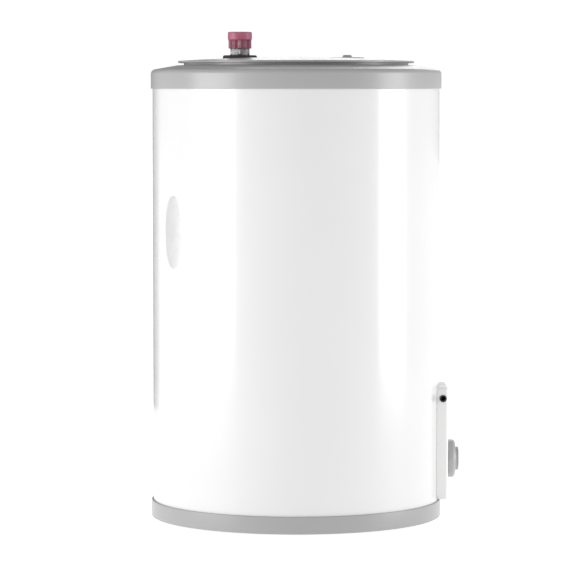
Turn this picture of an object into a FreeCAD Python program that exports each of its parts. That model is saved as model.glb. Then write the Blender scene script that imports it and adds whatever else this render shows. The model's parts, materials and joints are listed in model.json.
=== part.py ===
import FreeCAD, Part
import math
import os

# Tank water heater: floor-standing electric cylinder, about 50 litres.
# Origin on the floor at the tank's axis, +Z up, controls at the front (-Y),
# water connections at +X.  Millimetres throughout.

Vector = FreeCAD.Vector
UP = Vector(0, 0, 1)
DOWN = Vector(0, 0, -1)
EAST = Vector(1, 0, 0)
WEST = Vector(-1, 0, 0)
FRONT = Vector(0, -1, 0)

# ---------------------------------------------------------------- casing
JACKET_R = 202.0  # outside of the sheet-steel jacket
JACKET_SHEET = 0.8
JACKET_INSIDE = JACKET_R - JACKET_SHEET
JACKET_TOP = 622.0
CASE_R = 204.5  # outside of the moulded top cover and base pan
CASE_WALL = 2.3
CASE_INSIDE = CASE_R - CASE_WALL
FOOT_H = 2.0
PAN_TOP = 26.0
PAN_FLOOR = 9.0  # upper face of the pan's floor
PAN_FLOOR_T = 3.0
PAD_RING_R = 175.0
PAD_R = 11.0
COVER_BOTTOM = 604.5
SHOULDER_Z = 625.0  # where the cover's skirt turns inwards
SHOULDER_R = 7.0
SHOULDER_SLOPE = 10.0  # degrees
FLANGE_R = 168.0  # the cover's flat flange lies inside this
FLANGE_BORE = 140.0
LID_R = 166.0
LID_APEX = 649.0
LID_RISE = 5.4
LID_T = 2.5
LID_GAP = 3.4  # shadow gap between cover and lid
NECK_R = 158.0
LID_HOLE_R = 17.0  # for the hot outlet
LID_SCREW_RING_R = 147.0
LID_SCREW_SEAT_Z = 642.9
SEAM_AZIMUTH = 45.0
BADGE_HEIGHT, BADGE_WIDTH, BADGE_T = 100.0, 46.0, 0.35
BADGE_AZIMUTH, BADGE_Z = 123.0, 407.0

# ---------------------------------------------------------------- tank
TANK_R = 175.0
TANK_SHEET = 2.0
TANK_BORE = TANK_R - TANK_SHEET
TANK_BOTTOM = 38.0
TANK_TOP = 538.0
HEAD_R = TANK_BORE - 0.1
HEAD_SHEET = 2.2
HEAD_FLANGE = 16.0
TOP_KNUCKLE, TOP_CROWN = 30.0, 500.0
BOTTOM_KNUCKLE, BOTTOM_CROWN = 15.0, 1000.0
STAND_R = 162.0
STAND_SHEET = 2.0
BASE_SCREW_RING_R = 153.0
TOP_WELD_Z = 584.0  # the top head's surface at the two top sockets
SOCKET_TOP = 606.0
WELD_LEG = 4.0
GAP = 0.1  # clearance between pieces fixed together

# ---------------------------------------------------------------- screws
LID_SCREW_HEAD_R, LID_SCREW_R = 3.8, 1.8
BASE_SCREW_HEAD_R, BASE_SCREW_R = 5.0, 2.3
COVER_SCREW_HEAD_R, COVER_SCREW_R = 3.5, 1.6

# ---------------------------------------------------------------- fittings
THREAD_34 = 13.2  # outside radius of a 3/4 inch pipe thread
THREAD_12 = 10.5  # outside radius of a 1/2 inch pipe thread
HEX_34 = 27.0  # across flats
SOCKET_34_R = 17.5
SOCKET_12_R = 17.0
COLD_SOCKET_R = 19.0
COLD_BORE = 12.1
COLD_FACE = 206.0
COLD_DEPTH = 23.0
NIPPLE_BORE = 9.8
HOT_SEAT_Z = 646.4
ANODE_SEAT_Z = 646.9
GROMMET_R = 24.0
GROMMET_TOP = 651.6
HEX_Z = (651.8, 660.8)
NIPPLE_TOP = 680.8
CAP_Z = (661.1, 684.4)
CAP_R = 17.0
HOT_Y = 79.0
ANODE_Y = -72.0
INLET_Z = 84.0
DRAIN_Z = 82.0
DRAIN_AZIMUTH = -38.0
RELIEF_Z = 500.0
SOCKET_START = 172.5  # distance of a side socket's inner end from the axis
SOCKET_END = 199.0

# ---------------------------------------------------------------- controls
DAM_X = 36.0  # half width of the control recess through the foam
DAM_Z = (31.0, 178.0)
DAM_WALL = 1.5
BOX_X = 42.0  # half width of the control cover
BOX_Z = (26.5, 187.0)
BOX_FRONT = 213.7  # distance of its front face from the tank's axis
BOX_WALL = 2.0
BOX_CORNER = 10.0
BOX_EDGE = 3.5
KNOB_Z = 81.4
KNOB_R = 26.8
KNOB_BACK = BOX_FRONT + 1.0
SPINDLE_R = 3.0
LAMP_Z = 147.5
LAMP_R = 3.95
COVER_SCREW_Z = (37.5, 171.5)
GLAND_Y, GLAND_Z = -206.5, 170.5
ELEMENT_Z = 136.0
ELEMENT_REACH = 100.0  # how far past the axis the heating element goes
ELEMENT_LEGS_X = 9.0
HAIRPIN_Z = (ELEMENT_Z - 9, ELEMENT_Z + 7)
BOLT_OFFSET = 23.0
BOSS_HALF = 31.0
BOSS_FACE = 183.0
GASKET_T = 2.0
FLANGE_T = 5.0
FLANGE_FACE = BOSS_FACE + GASKET_T + FLANGE_T
LOWER_ROW_Z = 46.0  # safety cut-out and terminal block
LOWER_ROW_X = 19.0

# ---------------------------------------------------------------- axes
ACROSS = Vector(0, 1, 0)


def radial(azimuth, height):
    """Axis that runs outwards from the tank's centre line."""
    angle = math.radians(azimuth)
    return Vector(0, 0, height), Vector(math.cos(angle), math.sin(angle), 0)


CENTRE = (Vector(0, 0, 0), UP)
HOT = (Vector(0, HOT_Y, 0), UP)
ANODE = (Vector(0, ANODE_Y, 0), UP)
INLET = radial(0, INLET_Z)
RELIEF = radial(0, RELIEF_Z)
DRAIN = radial(DRAIN_AZIMUTH, DRAIN_Z)
KNOB = radial(-90, KNOB_Z)
LAMP = radial(-90, LAMP_Z)
ELEMENT = radial(-90, ELEMENT_Z)
GLAND = (Vector(0, GLAND_Y, GLAND_Z), WEST)
RESET = (Vector(-LOWER_ROW_X, 0, LOWER_ROW_Z), FRONT)
POCKET = (Vector(0, 0, ELEMENT_Z + 15.2), FRONT)

RELIEF_BRANCH_X = 232.0
RELIEF_OUTLET_Z = 466.0
OUTLET_DEPTH = 16.0  # how far a discharge pipe goes in
BRANCH = (Vector(RELIEF_BRANCH_X, 0, RELIEF_Z), DOWN)
LEVER_PIVOT_X = 262.0
LEVER_PIVOT = (Vector(LEVER_PIVOT_X, 0, RELIEF_Z), ACROSS)
BONNET_FACE = 258.0
CAM_R = 5.45
CHEEK_Y = (2.7, 4.9)  # the lever's cheeks, from its middle
CAM_CENTRE = (1.7, -1.855)  # from the pivot, along X and Z
DRAIN_BALL_AT = 224.0
DRAIN_BALL_R = 9.4
DRAIN_BALL_CENTRE = DRAIN[0] + DRAIN[1] * DRAIN_BALL_AT
DRAIN_STEM = (DRAIN_BALL_CENTRE, UP)


# ---------------------------------------------------------------- shape helpers
def set_on(axis, shape):
    """Turn a shape that was made along +Z so that it lies along an axis."""
    shape.Placement = FreeCAD.Placement(axis[0], FreeCAD.Rotation(UP, axis[1]))
    return shape


def rod(axis, start, end, radius):
    return Part.makeCylinder(radius, end - start, axis[0] + axis[1] * start, axis[1])


def pipe(axis, start, end, radius, bore):
    return rod(axis, start, end, radius).cut(rod(axis, start - 1, end + 1, bore))


def taper(axis, start, end, start_r, end_r):
    return Part.makeCone(start_r, end_r, end - start, axis[0] + axis[1] * start, axis[1])


def hexagon(axis, start, end, across_flats):
    """Hexagonal bar with a corner along the local X direction."""
    corner_r = across_flats / math.sqrt(3)
    corners = []
    for side in range(7):
        angle = math.radians(60 * side)
        corners.append(Vector(corner_r * math.cos(angle), corner_r * math.sin(angle), start))
    bar = Part.Face(Part.makePolygon(corners)).extrude(Vector(0, 0, end - start))
    return set_on(axis, bar)


def block(x, y, z):
    """Box from three pairs of limits."""
    corner = Vector(min(x), min(y), min(z))
    return Part.makeBox(abs(x[1] - x[0]), abs(y[1] - y[0]), abs(z[1] - z[0]), corner)


def on_circle(centre_r, centre_z, radius, degrees):
    angle = math.radians(degrees)
    return centre_r + radius * math.cos(angle), centre_z + radius * math.sin(angle)


def outline(steps):
    """Closed outline in the XZ plane: a step is a point, or (through, end) for an arc."""
    start = here = Vector(steps[0][0], 0, steps[0][1])
    edges = []
    for step in steps[1:]:
        if isinstance(step[0], tuple):
            through, end = (Vector(r, 0, z) for r, z in step)
            edges.append(Part.Arc(here, through, end).toShape())
        else:
            end = Vector(step[0], 0, step[1])
            edges.append(Part.makeLine(here, end))
        here = end
    edges.append(Part.makeLine(here, start))
    return Part.Wire(edges)


def turned(axis, steps):
    """Solid of revolution about an axis, from (radius, distance) steps."""
    return set_on(axis, Part.Face(outline(steps)).revolve(Vector(0, 0, 0), UP, 360))


def rounded_box(half_x, y, z, corner):
    """Box whose four edges along Y are rounded."""
    box = block((-half_x, half_x), y, z)
    along_y = [e for e in box.Edges if abs(e.tangentAt(e.FirstParameter).y) > 0.99]
    return box.makeFillet(corner, along_y)


def tube_along(points, radius, bend):
    """Round wire through points, with its corners turned by tangent arcs."""
    here = points[0]
    edges = []
    for corner, after in zip(points[1:], points[2:]):
        inward = (corner - here).normalize()
        outward = (after - corner).normalize()
        setback = bend * math.tan(inward.getAngle(outward) / 2)
        arc_start = corner - inward * setback
        arc_end = corner + outward * setback
        middle = (arc_start + arc_end) * 0.5
        to_centre = (outward - inward).normalize()
        half_turn = inward.getAngle(outward) / 2
        through = middle - to_centre * (bend * (1 - math.cos(half_turn)))
        edges.append(Part.makeLine(points[0] if not edges else here, arc_start))
        edges.append(Part.Arc(arc_start, through, arc_end).toShape())
        here = arc_end
    edges.append(Part.makeLine(here, points[-1]))
    section = Part.Wire(Part.makeCircle(radius, points[0], points[1] - points[0]))
    return Part.Wire(edges).makePipeShell([section], True, False)


def coil(axis, start, end, coil_r, wire_r, turns):
    """Helical spring between two distances along an axis."""
    height = end - start - 2 * wire_r
    path = Part.makeHelix(height / turns, height, coil_r)
    section = Part.Wire(Part.makeCircle(wire_r, Vector(coil_r, 0, 0), Vector(0, 1, 0)))
    spring = Part.Wire(path).makePipeShell([section], True, True)
    lifted = (axis[0] + axis[1] * (start + wire_r), axis[1])
    return set_on(lifted, spring)


def screw(axis, head_start, head_end, head_r, tip, shank_r):
    """Pan-head screw; the head is between head_start and head_end, the tip is further in."""
    edge = 0.6
    low, high = sorted((head_start, head_end))
    head = rod(axis, low, high, head_r)
    rim = [e for e in head.Edges if isinstance(e.Curve, Part.Circle)]
    outer = head_start if abs(head_start - tip) > abs(head_end - tip) else head_end
    outer_point = axis[0] + axis[1] * outer
    rim = [e for e in rim if (e.Curve.Center - outer_point).Length < 1e-6]
    head = head.makeFillet(edge, rim)
    shank = rod(axis, *sorted((head_end if outer == head_start else head_start, tip)), shank_r)
    return head.fuse(shank).removeSplitter()


def ring_of(count, radius, start_degrees):
    """Vertical axes evenly spaced round the tank's centre line."""
    axes = []
    for place in range(count):
        angle = math.radians(start_degrees + 360 * place / count)
        axes.append((Vector(radius * math.cos(angle), radius * math.sin(angle), 0), UP))
    return axes


# ---------------------------------------------------------------- shared forms
def head_steps(skirt_z, top_z, knuckle, crown, radius, inset):
    """Outer line of a dished head, moved inwards by inset, from its apex to its skirt."""
    centre_r = radius - knuckle
    drop = math.sqrt((crown - knuckle) ** 2 - centre_r**2)
    crown_z = top_z - drop
    tangent = math.degrees(math.atan2(drop, centre_r))
    apex = (0, crown_z + crown - inset)
    on_crown = on_circle(0, crown_z, crown - inset, (90 + tangent) / 2)
    joint = on_circle(0, crown_z, crown - inset, tangent)
    on_knuckle = on_circle(centre_r, top_z, knuckle - inset, tangent / 2)
    shoulder = (radius - inset, top_z)
    return [apex, (on_crown, joint), (on_knuckle, shoulder), (radius - inset, skirt_z)]


def reversed_steps(steps):
    """The same line walked from its other end."""
    ends = [step[-1] if isinstance(step[0], tuple) else step for step in steps]
    walked = [ends[-1]]
    for index in range(len(steps) - 1, 0, -1):
        step = steps[index]
        if isinstance(step[0], tuple):
            walked.append((step[0], ends[index - 1]))
        else:
            walked.append(ends[index - 1])
    return walked


def dished_head(skirt_z, top_z, knuckle, crown):
    outside = head_steps(skirt_z, top_z, knuckle, crown, HEAD_R, 0)
    inside = head_steps(skirt_z, top_z, knuckle, crown, HEAD_R, HEAD_SHEET)
    return turned(CENTRE, outside + reversed_steps(inside))


def tank_envelope():
    """Everything inside the outer surface of the tank."""
    barrel = rod(CENTRE, TANK_BOTTOM, TANK_TOP, TANK_R)
    dome = head_steps(TANK_TOP - 1, TANK_TOP, TOP_KNUCKLE, TOP_CROWN, HEAD_R, 0)
    return barrel.fuse(turned(CENTRE, dome + [(0, TANK_TOP - 1)]))


def weld_cone(axis, radius, surface, gap=0):
    start_r = radius + 1.8 * WELD_LEG
    return taper(axis, surface - WELD_LEG, surface + WELD_LEG, start_r + gap, radius + gap)


def weld(axis, radius, surface):
    """Bead round a socket, from under the tank's surface to a little above it."""
    bead = weld_cone(axis, radius, surface)
    return bead.cut([rod(axis, surface - 2 * WELD_LEG, surface + 2 * WELD_LEG, radius), TANK])


TANK = tank_envelope()
WELDS = [
    (INLET, COLD_SOCKET_R, TANK_R),
    (RELIEF, SOCKET_12_R, TANK_R),
    (DRAIN, SOCKET_12_R, TANK_R),
    (HOT, SOCKET_34_R, TOP_WELD_Z),
    (ANODE, SOCKET_34_R, TOP_WELD_Z + 1),
]


def cover_flange_z():
    """Height of the top cover's flat flange."""
    turn = on_circle(CASE_R - SHOULDER_R, SHOULDER_Z, SHOULDER_R, 90 - SHOULDER_SLOPE)
    return turn[1] + (turn[0] - FLANGE_R) * math.tan(math.radians(SHOULDER_SLOPE))


FLANGE_Z = cover_flange_z()
LID_UNDERSIDE = FLANGE_Z + LID_GAP
LID_CROWN = (LID_R**2 + LID_RISE**2) / (2 * LID_RISE)


def lid_height(radius, apex=LID_APEX):
    """Height of the lid's upper face, or of another dome with its own apex."""
    return apex - LID_CROWN + math.sqrt(LID_CROWN**2 - radius**2)


# ---------------------------------------------------------------- base
def base_pan():
    """Moulded pan: skirt round the jacket, floor, ribs and foot bosses underneath."""
    under = PAN_FLOOR - PAN_FLOOR_T
    edge = 1.2
    skirt_in = CASE_R - 3.1
    pan = turned(CENTRE, [
        (0, under),
        (skirt_in, under),
        (skirt_in, FOOT_H),
        (CASE_R - edge, FOOT_H),
        (on_circle(CASE_R - edge, FOOT_H + edge, edge, -45), (CASE_R, FOOT_H + edge)),
        (CASE_R, PAN_TOP - edge),
        (on_circle(CASE_R - edge, PAN_TOP - edge, edge, 45), (CASE_R - edge, PAN_TOP)),
        (CASE_INSIDE, PAN_TOP),
        (CASE_INSIDE, PAN_FLOOR),
        (0, PAN_FLOOR),
    ])
    ribs = [rod(CENTRE, FOOT_H, under, 22), pipe(CENTRE, FOOT_H + 0.5, under, 122, 119)]
    for azimuth in range(0, 360, 30):
        rib = block((20, skirt_in + 0.5), (-1.5, 1.5), (FOOT_H + 0.5, under))
        rib.rotate(Vector(0, 0, 0), UP, azimuth)
        ribs.append(rib)
    ribs += [rod(pad, FOOT_H, under, PAD_R + 2) for pad in ring_of(6, PAD_RING_R, 0)]
    ribs += [rod(place, FOOT_H + 2, under, 8) for place in ring_of(4, BASE_SCREW_RING_R, 45)]
    holes = [rod(place, 0, PAN_FLOOR + 1, 2.5) for place in ring_of(4, BASE_SCREW_RING_R, 45)]
    holes += [rod(place, 0, FOOT_H + 2.8, 5.6) for place in ring_of(4, BASE_SCREW_RING_R, 45)]
    return pan.fuse(ribs).cut(holes).removeSplitter()


def rubber_feet():
    pads = [rod(pad, 0, FOOT_H, PAD_R) for pad in ring_of(6, PAD_RING_R, 0)]
    return Part.makeCompound(pads + [rod(CENTRE, 0, FOOT_H, 20)])


def base_screws():
    """Four screws up through the pan into the tank's stand."""
    head = (FOOT_H + 0.6, FOOT_H + 2.8)
    places = ring_of(4, BASE_SCREW_RING_R, 45)
    screws = [screw(place, *head, BASE_SCREW_HEAD_R, 16.0, BASE_SCREW_R) for place in places]
    return Part.makeCompound(screws)


def base_insulation():
    """Polystyrene disc under the tank, inside its stand."""
    disc = rod(CENTRE, PAN_FLOOR + STAND_SHEET + GAP, TANK_BOTTOM - GAP, STAND_R - STAND_SHEET - GAP)
    return disc.cut([rod(place, 0, 20, 3) for place in ring_of(4, BASE_SCREW_RING_R, 45)])


def tank_stand():
    """Pressed ring that carries the tank on the pan."""
    inner = STAND_R - STAND_SHEET
    ring = turned(CENTRE, [
        (inner - 14, PAN_FLOOR),
        (STAND_R, PAN_FLOOR),
        (STAND_R, TANK_BOTTOM - STAND_SHEET),
        (TANK_R + 1, TANK_BOTTOM - STAND_SHEET),
        (TANK_R + 1, TANK_BOTTOM),
        (inner, TANK_BOTTOM),
        (inner, PAN_FLOOR + STAND_SHEET),
        (inner - 14, PAN_FLOOR + STAND_SHEET),
    ])
    return ring.cut([rod(place, 0, 20, 2.4) for place in ring_of(4, BASE_SCREW_RING_R, 45)])


# ---------------------------------------------------------------- casing
def jacket():
    """Rolled sheet, with its lock seam, the control opening and the pipe holes."""
    sheet = pipe(CENTRE, PAN_FLOOR + GAP, JACKET_TOP, JACKET_R, JACKET_INSIDE)
    seam = pipe(CENTRE, PAN_TOP + 1, COVER_BOTTOM - 1.5, JACKET_R + 0.7, JACKET_R - 0.4)
    strip = block((JACKET_R - 3, JACKET_R + 3), (-3.5, 3.5), (0, JACKET_TOP))
    strip.rotate(Vector(0, 0, 0), UP, SEAM_AZIMUTH)
    opening = block((-DAM_X, DAM_X), (-JACKET_R - 1, -150), DAM_Z)
    holes = [rod(INLET, 190, 210, 19.5), rod(RELIEF, 190, 210, 12), rod(DRAIN, 190, 210, 12)]
    return sheet.fuse(seam.common(strip)).cut([opening] + holes)


def top_cover():
    """Moulded ring over the jacket's upper edge, with a flange that carries the lid."""
    lip = 0.8
    centre_r = CASE_R - SHOULDER_R
    turn = 90 - SHOULDER_SLOPE
    inner_r = SHOULDER_R - CASE_WALL
    ring = turned(CENTRE, [
        (CASE_INSIDE, COVER_BOTTOM),
        (CASE_R - lip, COVER_BOTTOM),
        (on_circle(CASE_R - lip, COVER_BOTTOM + lip, lip, -45), (CASE_R, COVER_BOTTOM + lip)),
        (CASE_R, SHOULDER_Z),
        (
            on_circle(centre_r, SHOULDER_Z, SHOULDER_R, turn / 2),
            on_circle(centre_r, SHOULDER_Z, SHOULDER_R, turn),
        ),
        (FLANGE_R, FLANGE_Z),
        (FLANGE_BORE, FLANGE_Z),
        (FLANGE_BORE, FLANGE_Z - CASE_WALL),
        (FLANGE_R, FLANGE_Z - CASE_WALL),
        on_circle(centre_r, SHOULDER_Z, inner_r, turn),
        (on_circle(centre_r, SHOULDER_Z, inner_r, turn / 2), (CASE_INSIDE, SHOULDER_Z)),
    ])
    return ring.cut([rod(place, 600, 660, 1.9) for place in ring_of(3, LID_SCREW_RING_R, 30)])


def top_lid():
    """Shallow domed lid on a neck, with flat seats for the outlet and the anode's cap."""
    edge = 1.0
    rim = lid_height(LID_R - edge)
    inside = LID_APEX - LID_T
    lid = turned(CENTRE, [
        (0, LID_APEX),
        ((LID_R / 2, lid_height(LID_R / 2)), (LID_R - edge, rim)),
        (on_circle(LID_R - edge, rim - edge, edge, 45), (LID_R, rim - edge)),
        (LID_R, LID_UNDERSIDE + 0.6),
        (LID_R - 0.6, LID_UNDERSIDE),
        (NECK_R, LID_UNDERSIDE),
        (NECK_R, FLANGE_Z),
        (NECK_R - 3, FLANGE_Z),
        (NECK_R - 3, lid_height(NECK_R - 3, inside)),
        ((NECK_R / 2, lid_height(NECK_R / 2, inside)), (0, inside)),
    ])
    bosses = [rod(HOT, 643.6, HOT_SEAT_Z, 29), rod(ANODE, 644.2, ANODE_SEAT_Z, 29)]
    screws = ring_of(3, LID_SCREW_RING_R, 30)
    bosses += [rod(place, FLANGE_Z, 643, 5) for place in screws]
    seats = [rod(HOT, HOT_SEAT_Z, 660, 26.5), rod(ANODE, ANODE_SEAT_Z, 660, 26.0)]
    holes = [rod(HOT, 600, 660, LID_HOLE_R), rod(ANODE, 600, 660, 20)]
    holes += [rod(place, 600, 660, 1.9) for place in screws]
    sinks = [rod(place, LID_SCREW_SEAT_Z, 660, 4.4) for place in screws]
    return lid.fuse(bosses).removeSplitter().cut(seats + holes).cut(sinks)


def lid_screws():
    """Screws that hold the lid on the cover's flange, with their heads sunk in it."""
    head = (LID_SCREW_SEAT_Z + 1.6, LID_SCREW_SEAT_Z)
    tip = FLANGE_Z - 5
    places = ring_of(3, LID_SCREW_RING_R, 30)
    screws = [screw(place, *head, LID_SCREW_HEAD_R, tip, LID_SCREW_R) for place in places]
    return Part.makeCompound(screws)


def anode_access_cap():
    """Press-in cap over the anode's plug, with a small grip in the middle."""
    top = ANODE_SEAT_Z
    cap = turned(ANODE, [
        (0, top - 2),
        (17.5, top - 2),
        (17.5, top - 6),
        (19.7, top - 6),
        (19.7, top),
        (24.5, top),
        (24.5, top + 1.0),
        (23.3, top + 1.8),
        (7.0, top + 1.8),
        (6.0, top + 4.4),
        (5.0, top + 5.2),
        (0, top + 5.2),
    ])
    return cap


def label_badge():
    """Blank oval badge on the jacket."""
    oval = Part.Ellipse(Vector(0, 0, 0), BADGE_HEIGHT / 2, BADGE_WIDTH / 2).toShape()
    plate = Part.Face(Part.Wire(oval)).extrude(Vector(0, 0, 30))
    plate.rotate(Vector(0, 0, 0), ACROSS, 90)
    plate.translate(Vector(JACKET_R - 15, 0, BADGE_Z))
    plate.rotate(Vector(0, 0, 0), UP, BADGE_AZIMUTH)
    return plate.common(pipe(CENTRE, 300, 500, JACKET_R + BADGE_T, JACKET_R))


def escutcheon():
    """Blue ring that marks the cold inlet."""
    ring = pipe(INLET, 198, COLD_FACE - 0.6, 27, COLD_SOCKET_R + 0.3)
    rim = [e for e in ring.Edges if isinstance(e.Curve, Part.Circle) and e.Curve.Center.x > 205]
    return ring.makeFillet(1.2, rim).cut(rod(CENTRE, 0, 200, JACKET_R + GAP))


# ---------------------------------------------------------------- insulation
def foam_insulation():
    """Foam between the tank and the jacket, with everything that passes through it cut out."""
    fill = rod(CENTRE, PAN_FLOOR + GAP, JACKET_TOP - 4, JACKET_INSIDE - GAP)
    room = [
        rod(CENTRE, 0, TANK_BOTTOM, TANK_R + 1 + GAP),
        TANK,
        block((-DAM_X - GAP, DAM_X + GAP), (-220, -120), (DAM_Z[0] - GAP, DAM_Z[1] + GAP)),
        rod(INLET, 100, 220, COLD_SOCKET_R + GAP),
        rod(RELIEF, 100, 220, SOCKET_12_R + GAP),
        rod(DRAIN, 100, 220, SOCKET_12_R + GAP),
        rod(HOT, 500, 700, SOCKET_34_R + GAP),
        rod(ANODE, 500, 700, SOCKET_34_R + GAP),
    ]
    room += [weld_cone(axis, radius, surface, 2 * GAP) for axis, radius, surface in WELDS]
    return fill.cut(room)


def foam_dam():
    """Sleeve that keeps the foam out of the control recess, with two screw posts."""
    depth = (-220, -120)
    inside = (DAM_Z[0] + DAM_WALL, DAM_Z[1] - DAM_WALL)
    sleeve = block((-DAM_X, DAM_X), depth, DAM_Z)
    sleeve = sleeve.cut(block((-DAM_X + DAM_WALL, DAM_X - DAM_WALL), depth, inside))
    low, high = (radial(-90, z) for z in COVER_SCREW_Z)
    posts = [rod(low, 184, 210, 5.5), rod(high, 192, 210, 5.5)]
    pilots = [rod(low, 183, 215, 1.65), rod(high, 190, 215, 1.65)]
    walls = pipe(CENTRE, 0, 300, JACKET_INSIDE - GAP, TANK_R + 1 + GAP)
    return sleeve.fuse(posts).common(walls).cut(pilots).removeSplitter()


# ---------------------------------------------------------------- tank
def tank_shell():
    shell = pipe(CENTRE, TANK_BOTTOM, TANK_TOP, TANK_R, TANK_BORE)
    holes = [
        rod(INLET, 150, 200, COLD_SOCKET_R + GAP),
        rod(RELIEF, 150, 200, SOCKET_12_R + GAP),
        rod(DRAIN, 150, 200, SOCKET_12_R + GAP),
        rod(ELEMENT, 150, 200, 21),
    ]
    return shell.cut(holes)


def tank_top_head():
    head = dished_head(TANK_TOP - HEAD_FLANGE, TANK_TOP, TOP_KNUCKLE, TOP_CROWN)
    return head.cut([rod(axis, 500, 700, SOCKET_34_R + GAP) for axis in (HOT, ANODE)])


def tank_bottom_head():
    return dished_head(TANK_BOTTOM, TANK_BOTTOM + HEAD_FLANGE, BOTTOM_KNUCKLE, BOTTOM_CROWN)


def top_socket(axis, surface):
    socket = pipe(axis, 577, SOCKET_TOP, SOCKET_34_R, THREAD_34 + GAP)
    return socket.fuse(weld(axis, SOCKET_34_R, surface)).removeSplitter()


def top_sockets():
    """Hot outlet socket and anode socket, welded through the top head."""
    return Part.makeCompound([top_socket(HOT, TOP_WELD_Z), top_socket(ANODE, TOP_WELD_Z + 1)])


def cold_socket():
    """Female 3/4 inch socket that comes out flush through the escutcheon."""
    socket = rod(INLET, SOCKET_START, COLD_FACE, COLD_SOCKET_R)
    socket = socket.fuse(weld(INLET, COLD_SOCKET_R, TANK_R))
    thread = rod(INLET, COLD_FACE - COLD_DEPTH, COLD_FACE + 1, COLD_BORE)
    return socket.cut([thread, rod(INLET, 160, 200, 9)]).removeSplitter()


def inlet_diffuser():
    """Tube with side slots, so that cold water enters slowly and level."""
    tube = pipe(INLET, 146, 182, 8.9, 7.4).fuse(rod(INLET, 144, 146, 8.9))
    slots = [block((149, 153), (-10, 10), (INLET_Z - 3, INLET_Z + 3))]
    slots.append(block((157, 161), (-10, 10), (INLET_Z - 3, INLET_Z + 3)))
    return tube.cut(slots).removeSplitter()


def half_inch_socket(axis):
    socket = pipe(axis, SOCKET_START, SOCKET_END, SOCKET_12_R, THREAD_12 + GAP)
    return socket.fuse(weld(axis, SOCKET_12_R, TANK_R)).removeSplitter()


def drain_socket():
    return half_inch_socket(DRAIN)


def relief_socket():
    return half_inch_socket(RELIEF)


# ---------------------------------------------------------------- hot outlet
def hot_nipple():
    """Nipple through the lid, with a hexagon under its outside thread."""
    nipple = rod(HOT, 588, NIPPLE_TOP, THREAD_34).fuse(hexagon(HOT, *HEX_Z, HEX_34))
    return nipple.cut(rod(HOT, 580, 690, NIPPLE_BORE)).removeSplitter()


def hot_grommet():
    """Rubber collar that seals the lid round the nipple."""
    bore = THREAD_34 + 0.05
    neck = LID_HOLE_R - GAP
    edge = 2.4
    return turned(HOT, [
        (bore, HOT_SEAT_Z - 6),
        (neck, HOT_SEAT_Z - 6),
        (neck, HOT_SEAT_Z),
        (GROMMET_R, HOT_SEAT_Z),
        (GROMMET_R, GROMMET_TOP - edge),
        (on_circle(GROMMET_R - edge, GROMMET_TOP - edge, edge, 45), (GROMMET_R - edge, GROMMET_TOP)),
        (bore, GROMMET_TOP),
    ])


def hot_cap():
    """Push-on transit cap that closes the hot outlet."""
    bore = THREAD_34 + 0.3
    edge = 1.2
    foot, top = CAP_Z
    ceiling = top - 3.2
    return turned(HOT, [
        (bore, foot),
        (CAP_R, foot),
        (CAP_R, top - edge),
        (on_circle(CAP_R - edge, top - edge, edge, 45), (CAP_R - edge, top)),
        (0, top),
        (0, ceiling),
        (bore, ceiling),
    ])


def heat_trap():
    """Plastic insert in the nipple, with a lip that stops warm water rising."""
    radius = NIPPLE_BORE - GAP
    sleeve = pipe(HOT, 590, 630, radius, 8.0)
    return sleeve.fuse(pipe(HOT, 606, 608, radius, 4.0)).removeSplitter()


# ---------------------------------------------------------------- anode
def anode_plug():
    """Hexagon plug with the steel core that carries the anode."""
    plug = rod(ANODE, 590, SOCKET_TOP + 0.2, THREAD_34)
    head = hexagon(ANODE, SOCKET_TOP + 0.2, SOCKET_TOP + 10, HEX_34)
    return plug.fuse([head, rod(ANODE, 180, 590, 3)]).removeSplitter()


def anode_rod():
    return pipe(ANODE, 185, 560, 11, 3 + GAP / 2)


# ---------------------------------------------------------------- drain valve
def drain_body():
    """Ball valve body with a male hose thread."""
    body = rod(DRAIN, 180, 203, THREAD_12).fuse([
        hexagon(DRAIN, 203, 211, HEX_34),
        rod(DRAIN, 211, 237, 14),
        rod(DRAIN, 237, 253, THREAD_34),
        rod(DRAIN_STEM, 0, 17, 6.5),
    ])
    room = [
        rod(DRAIN, 170, 260, 6.5),
        Part.makeSphere(DRAIN_BALL_R + 0.4, DRAIN_BALL_CENTRE),
        rod(DRAIN_STEM, 0, 20, 3.4),
    ]
    return body.cut(room).removeSplitter()


def drain_ball():
    """Closed at rest: its bore lies across the pipe."""
    ball = Part.makeSphere(DRAIN_BALL_R, DRAIN_BALL_CENTRE)
    across = (DRAIN_BALL_CENTRE, UP.cross(DRAIN[1]))
    slot = rod(DRAIN_STEM, DRAIN_BALL_R - 2, DRAIN_BALL_R + 1, 3.1)
    return ball.cut([rod(across, -20, 20, 6), slot])


def drain_handle():
    """Stem and tee handle of the drain valve."""
    stem = rod(DRAIN_STEM, DRAIN_BALL_R - 1.9, 26, 3)
    hub = rod(DRAIN_STEM, 18.5, 26, 6.5)
    bar = block((-16, 16), (-3.5, 3.5), (20, 26))
    bar = bar.makeFillet(2.9, [e for e in bar.Edges if abs(e.tangentAt(e.FirstParameter).z) > 0.99])
    bar = bar.makeFillet(1.2, [e for e in bar.Edges if e.BoundBox.ZLength < 1e-6])
    bar.rotate(Vector(0, 0, 0), UP, DRAIN_AZIMUTH + 90)
    bar.translate(DRAIN_BALL_CENTRE)
    return stem.fuse([hub, bar]).removeSplitter()


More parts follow.
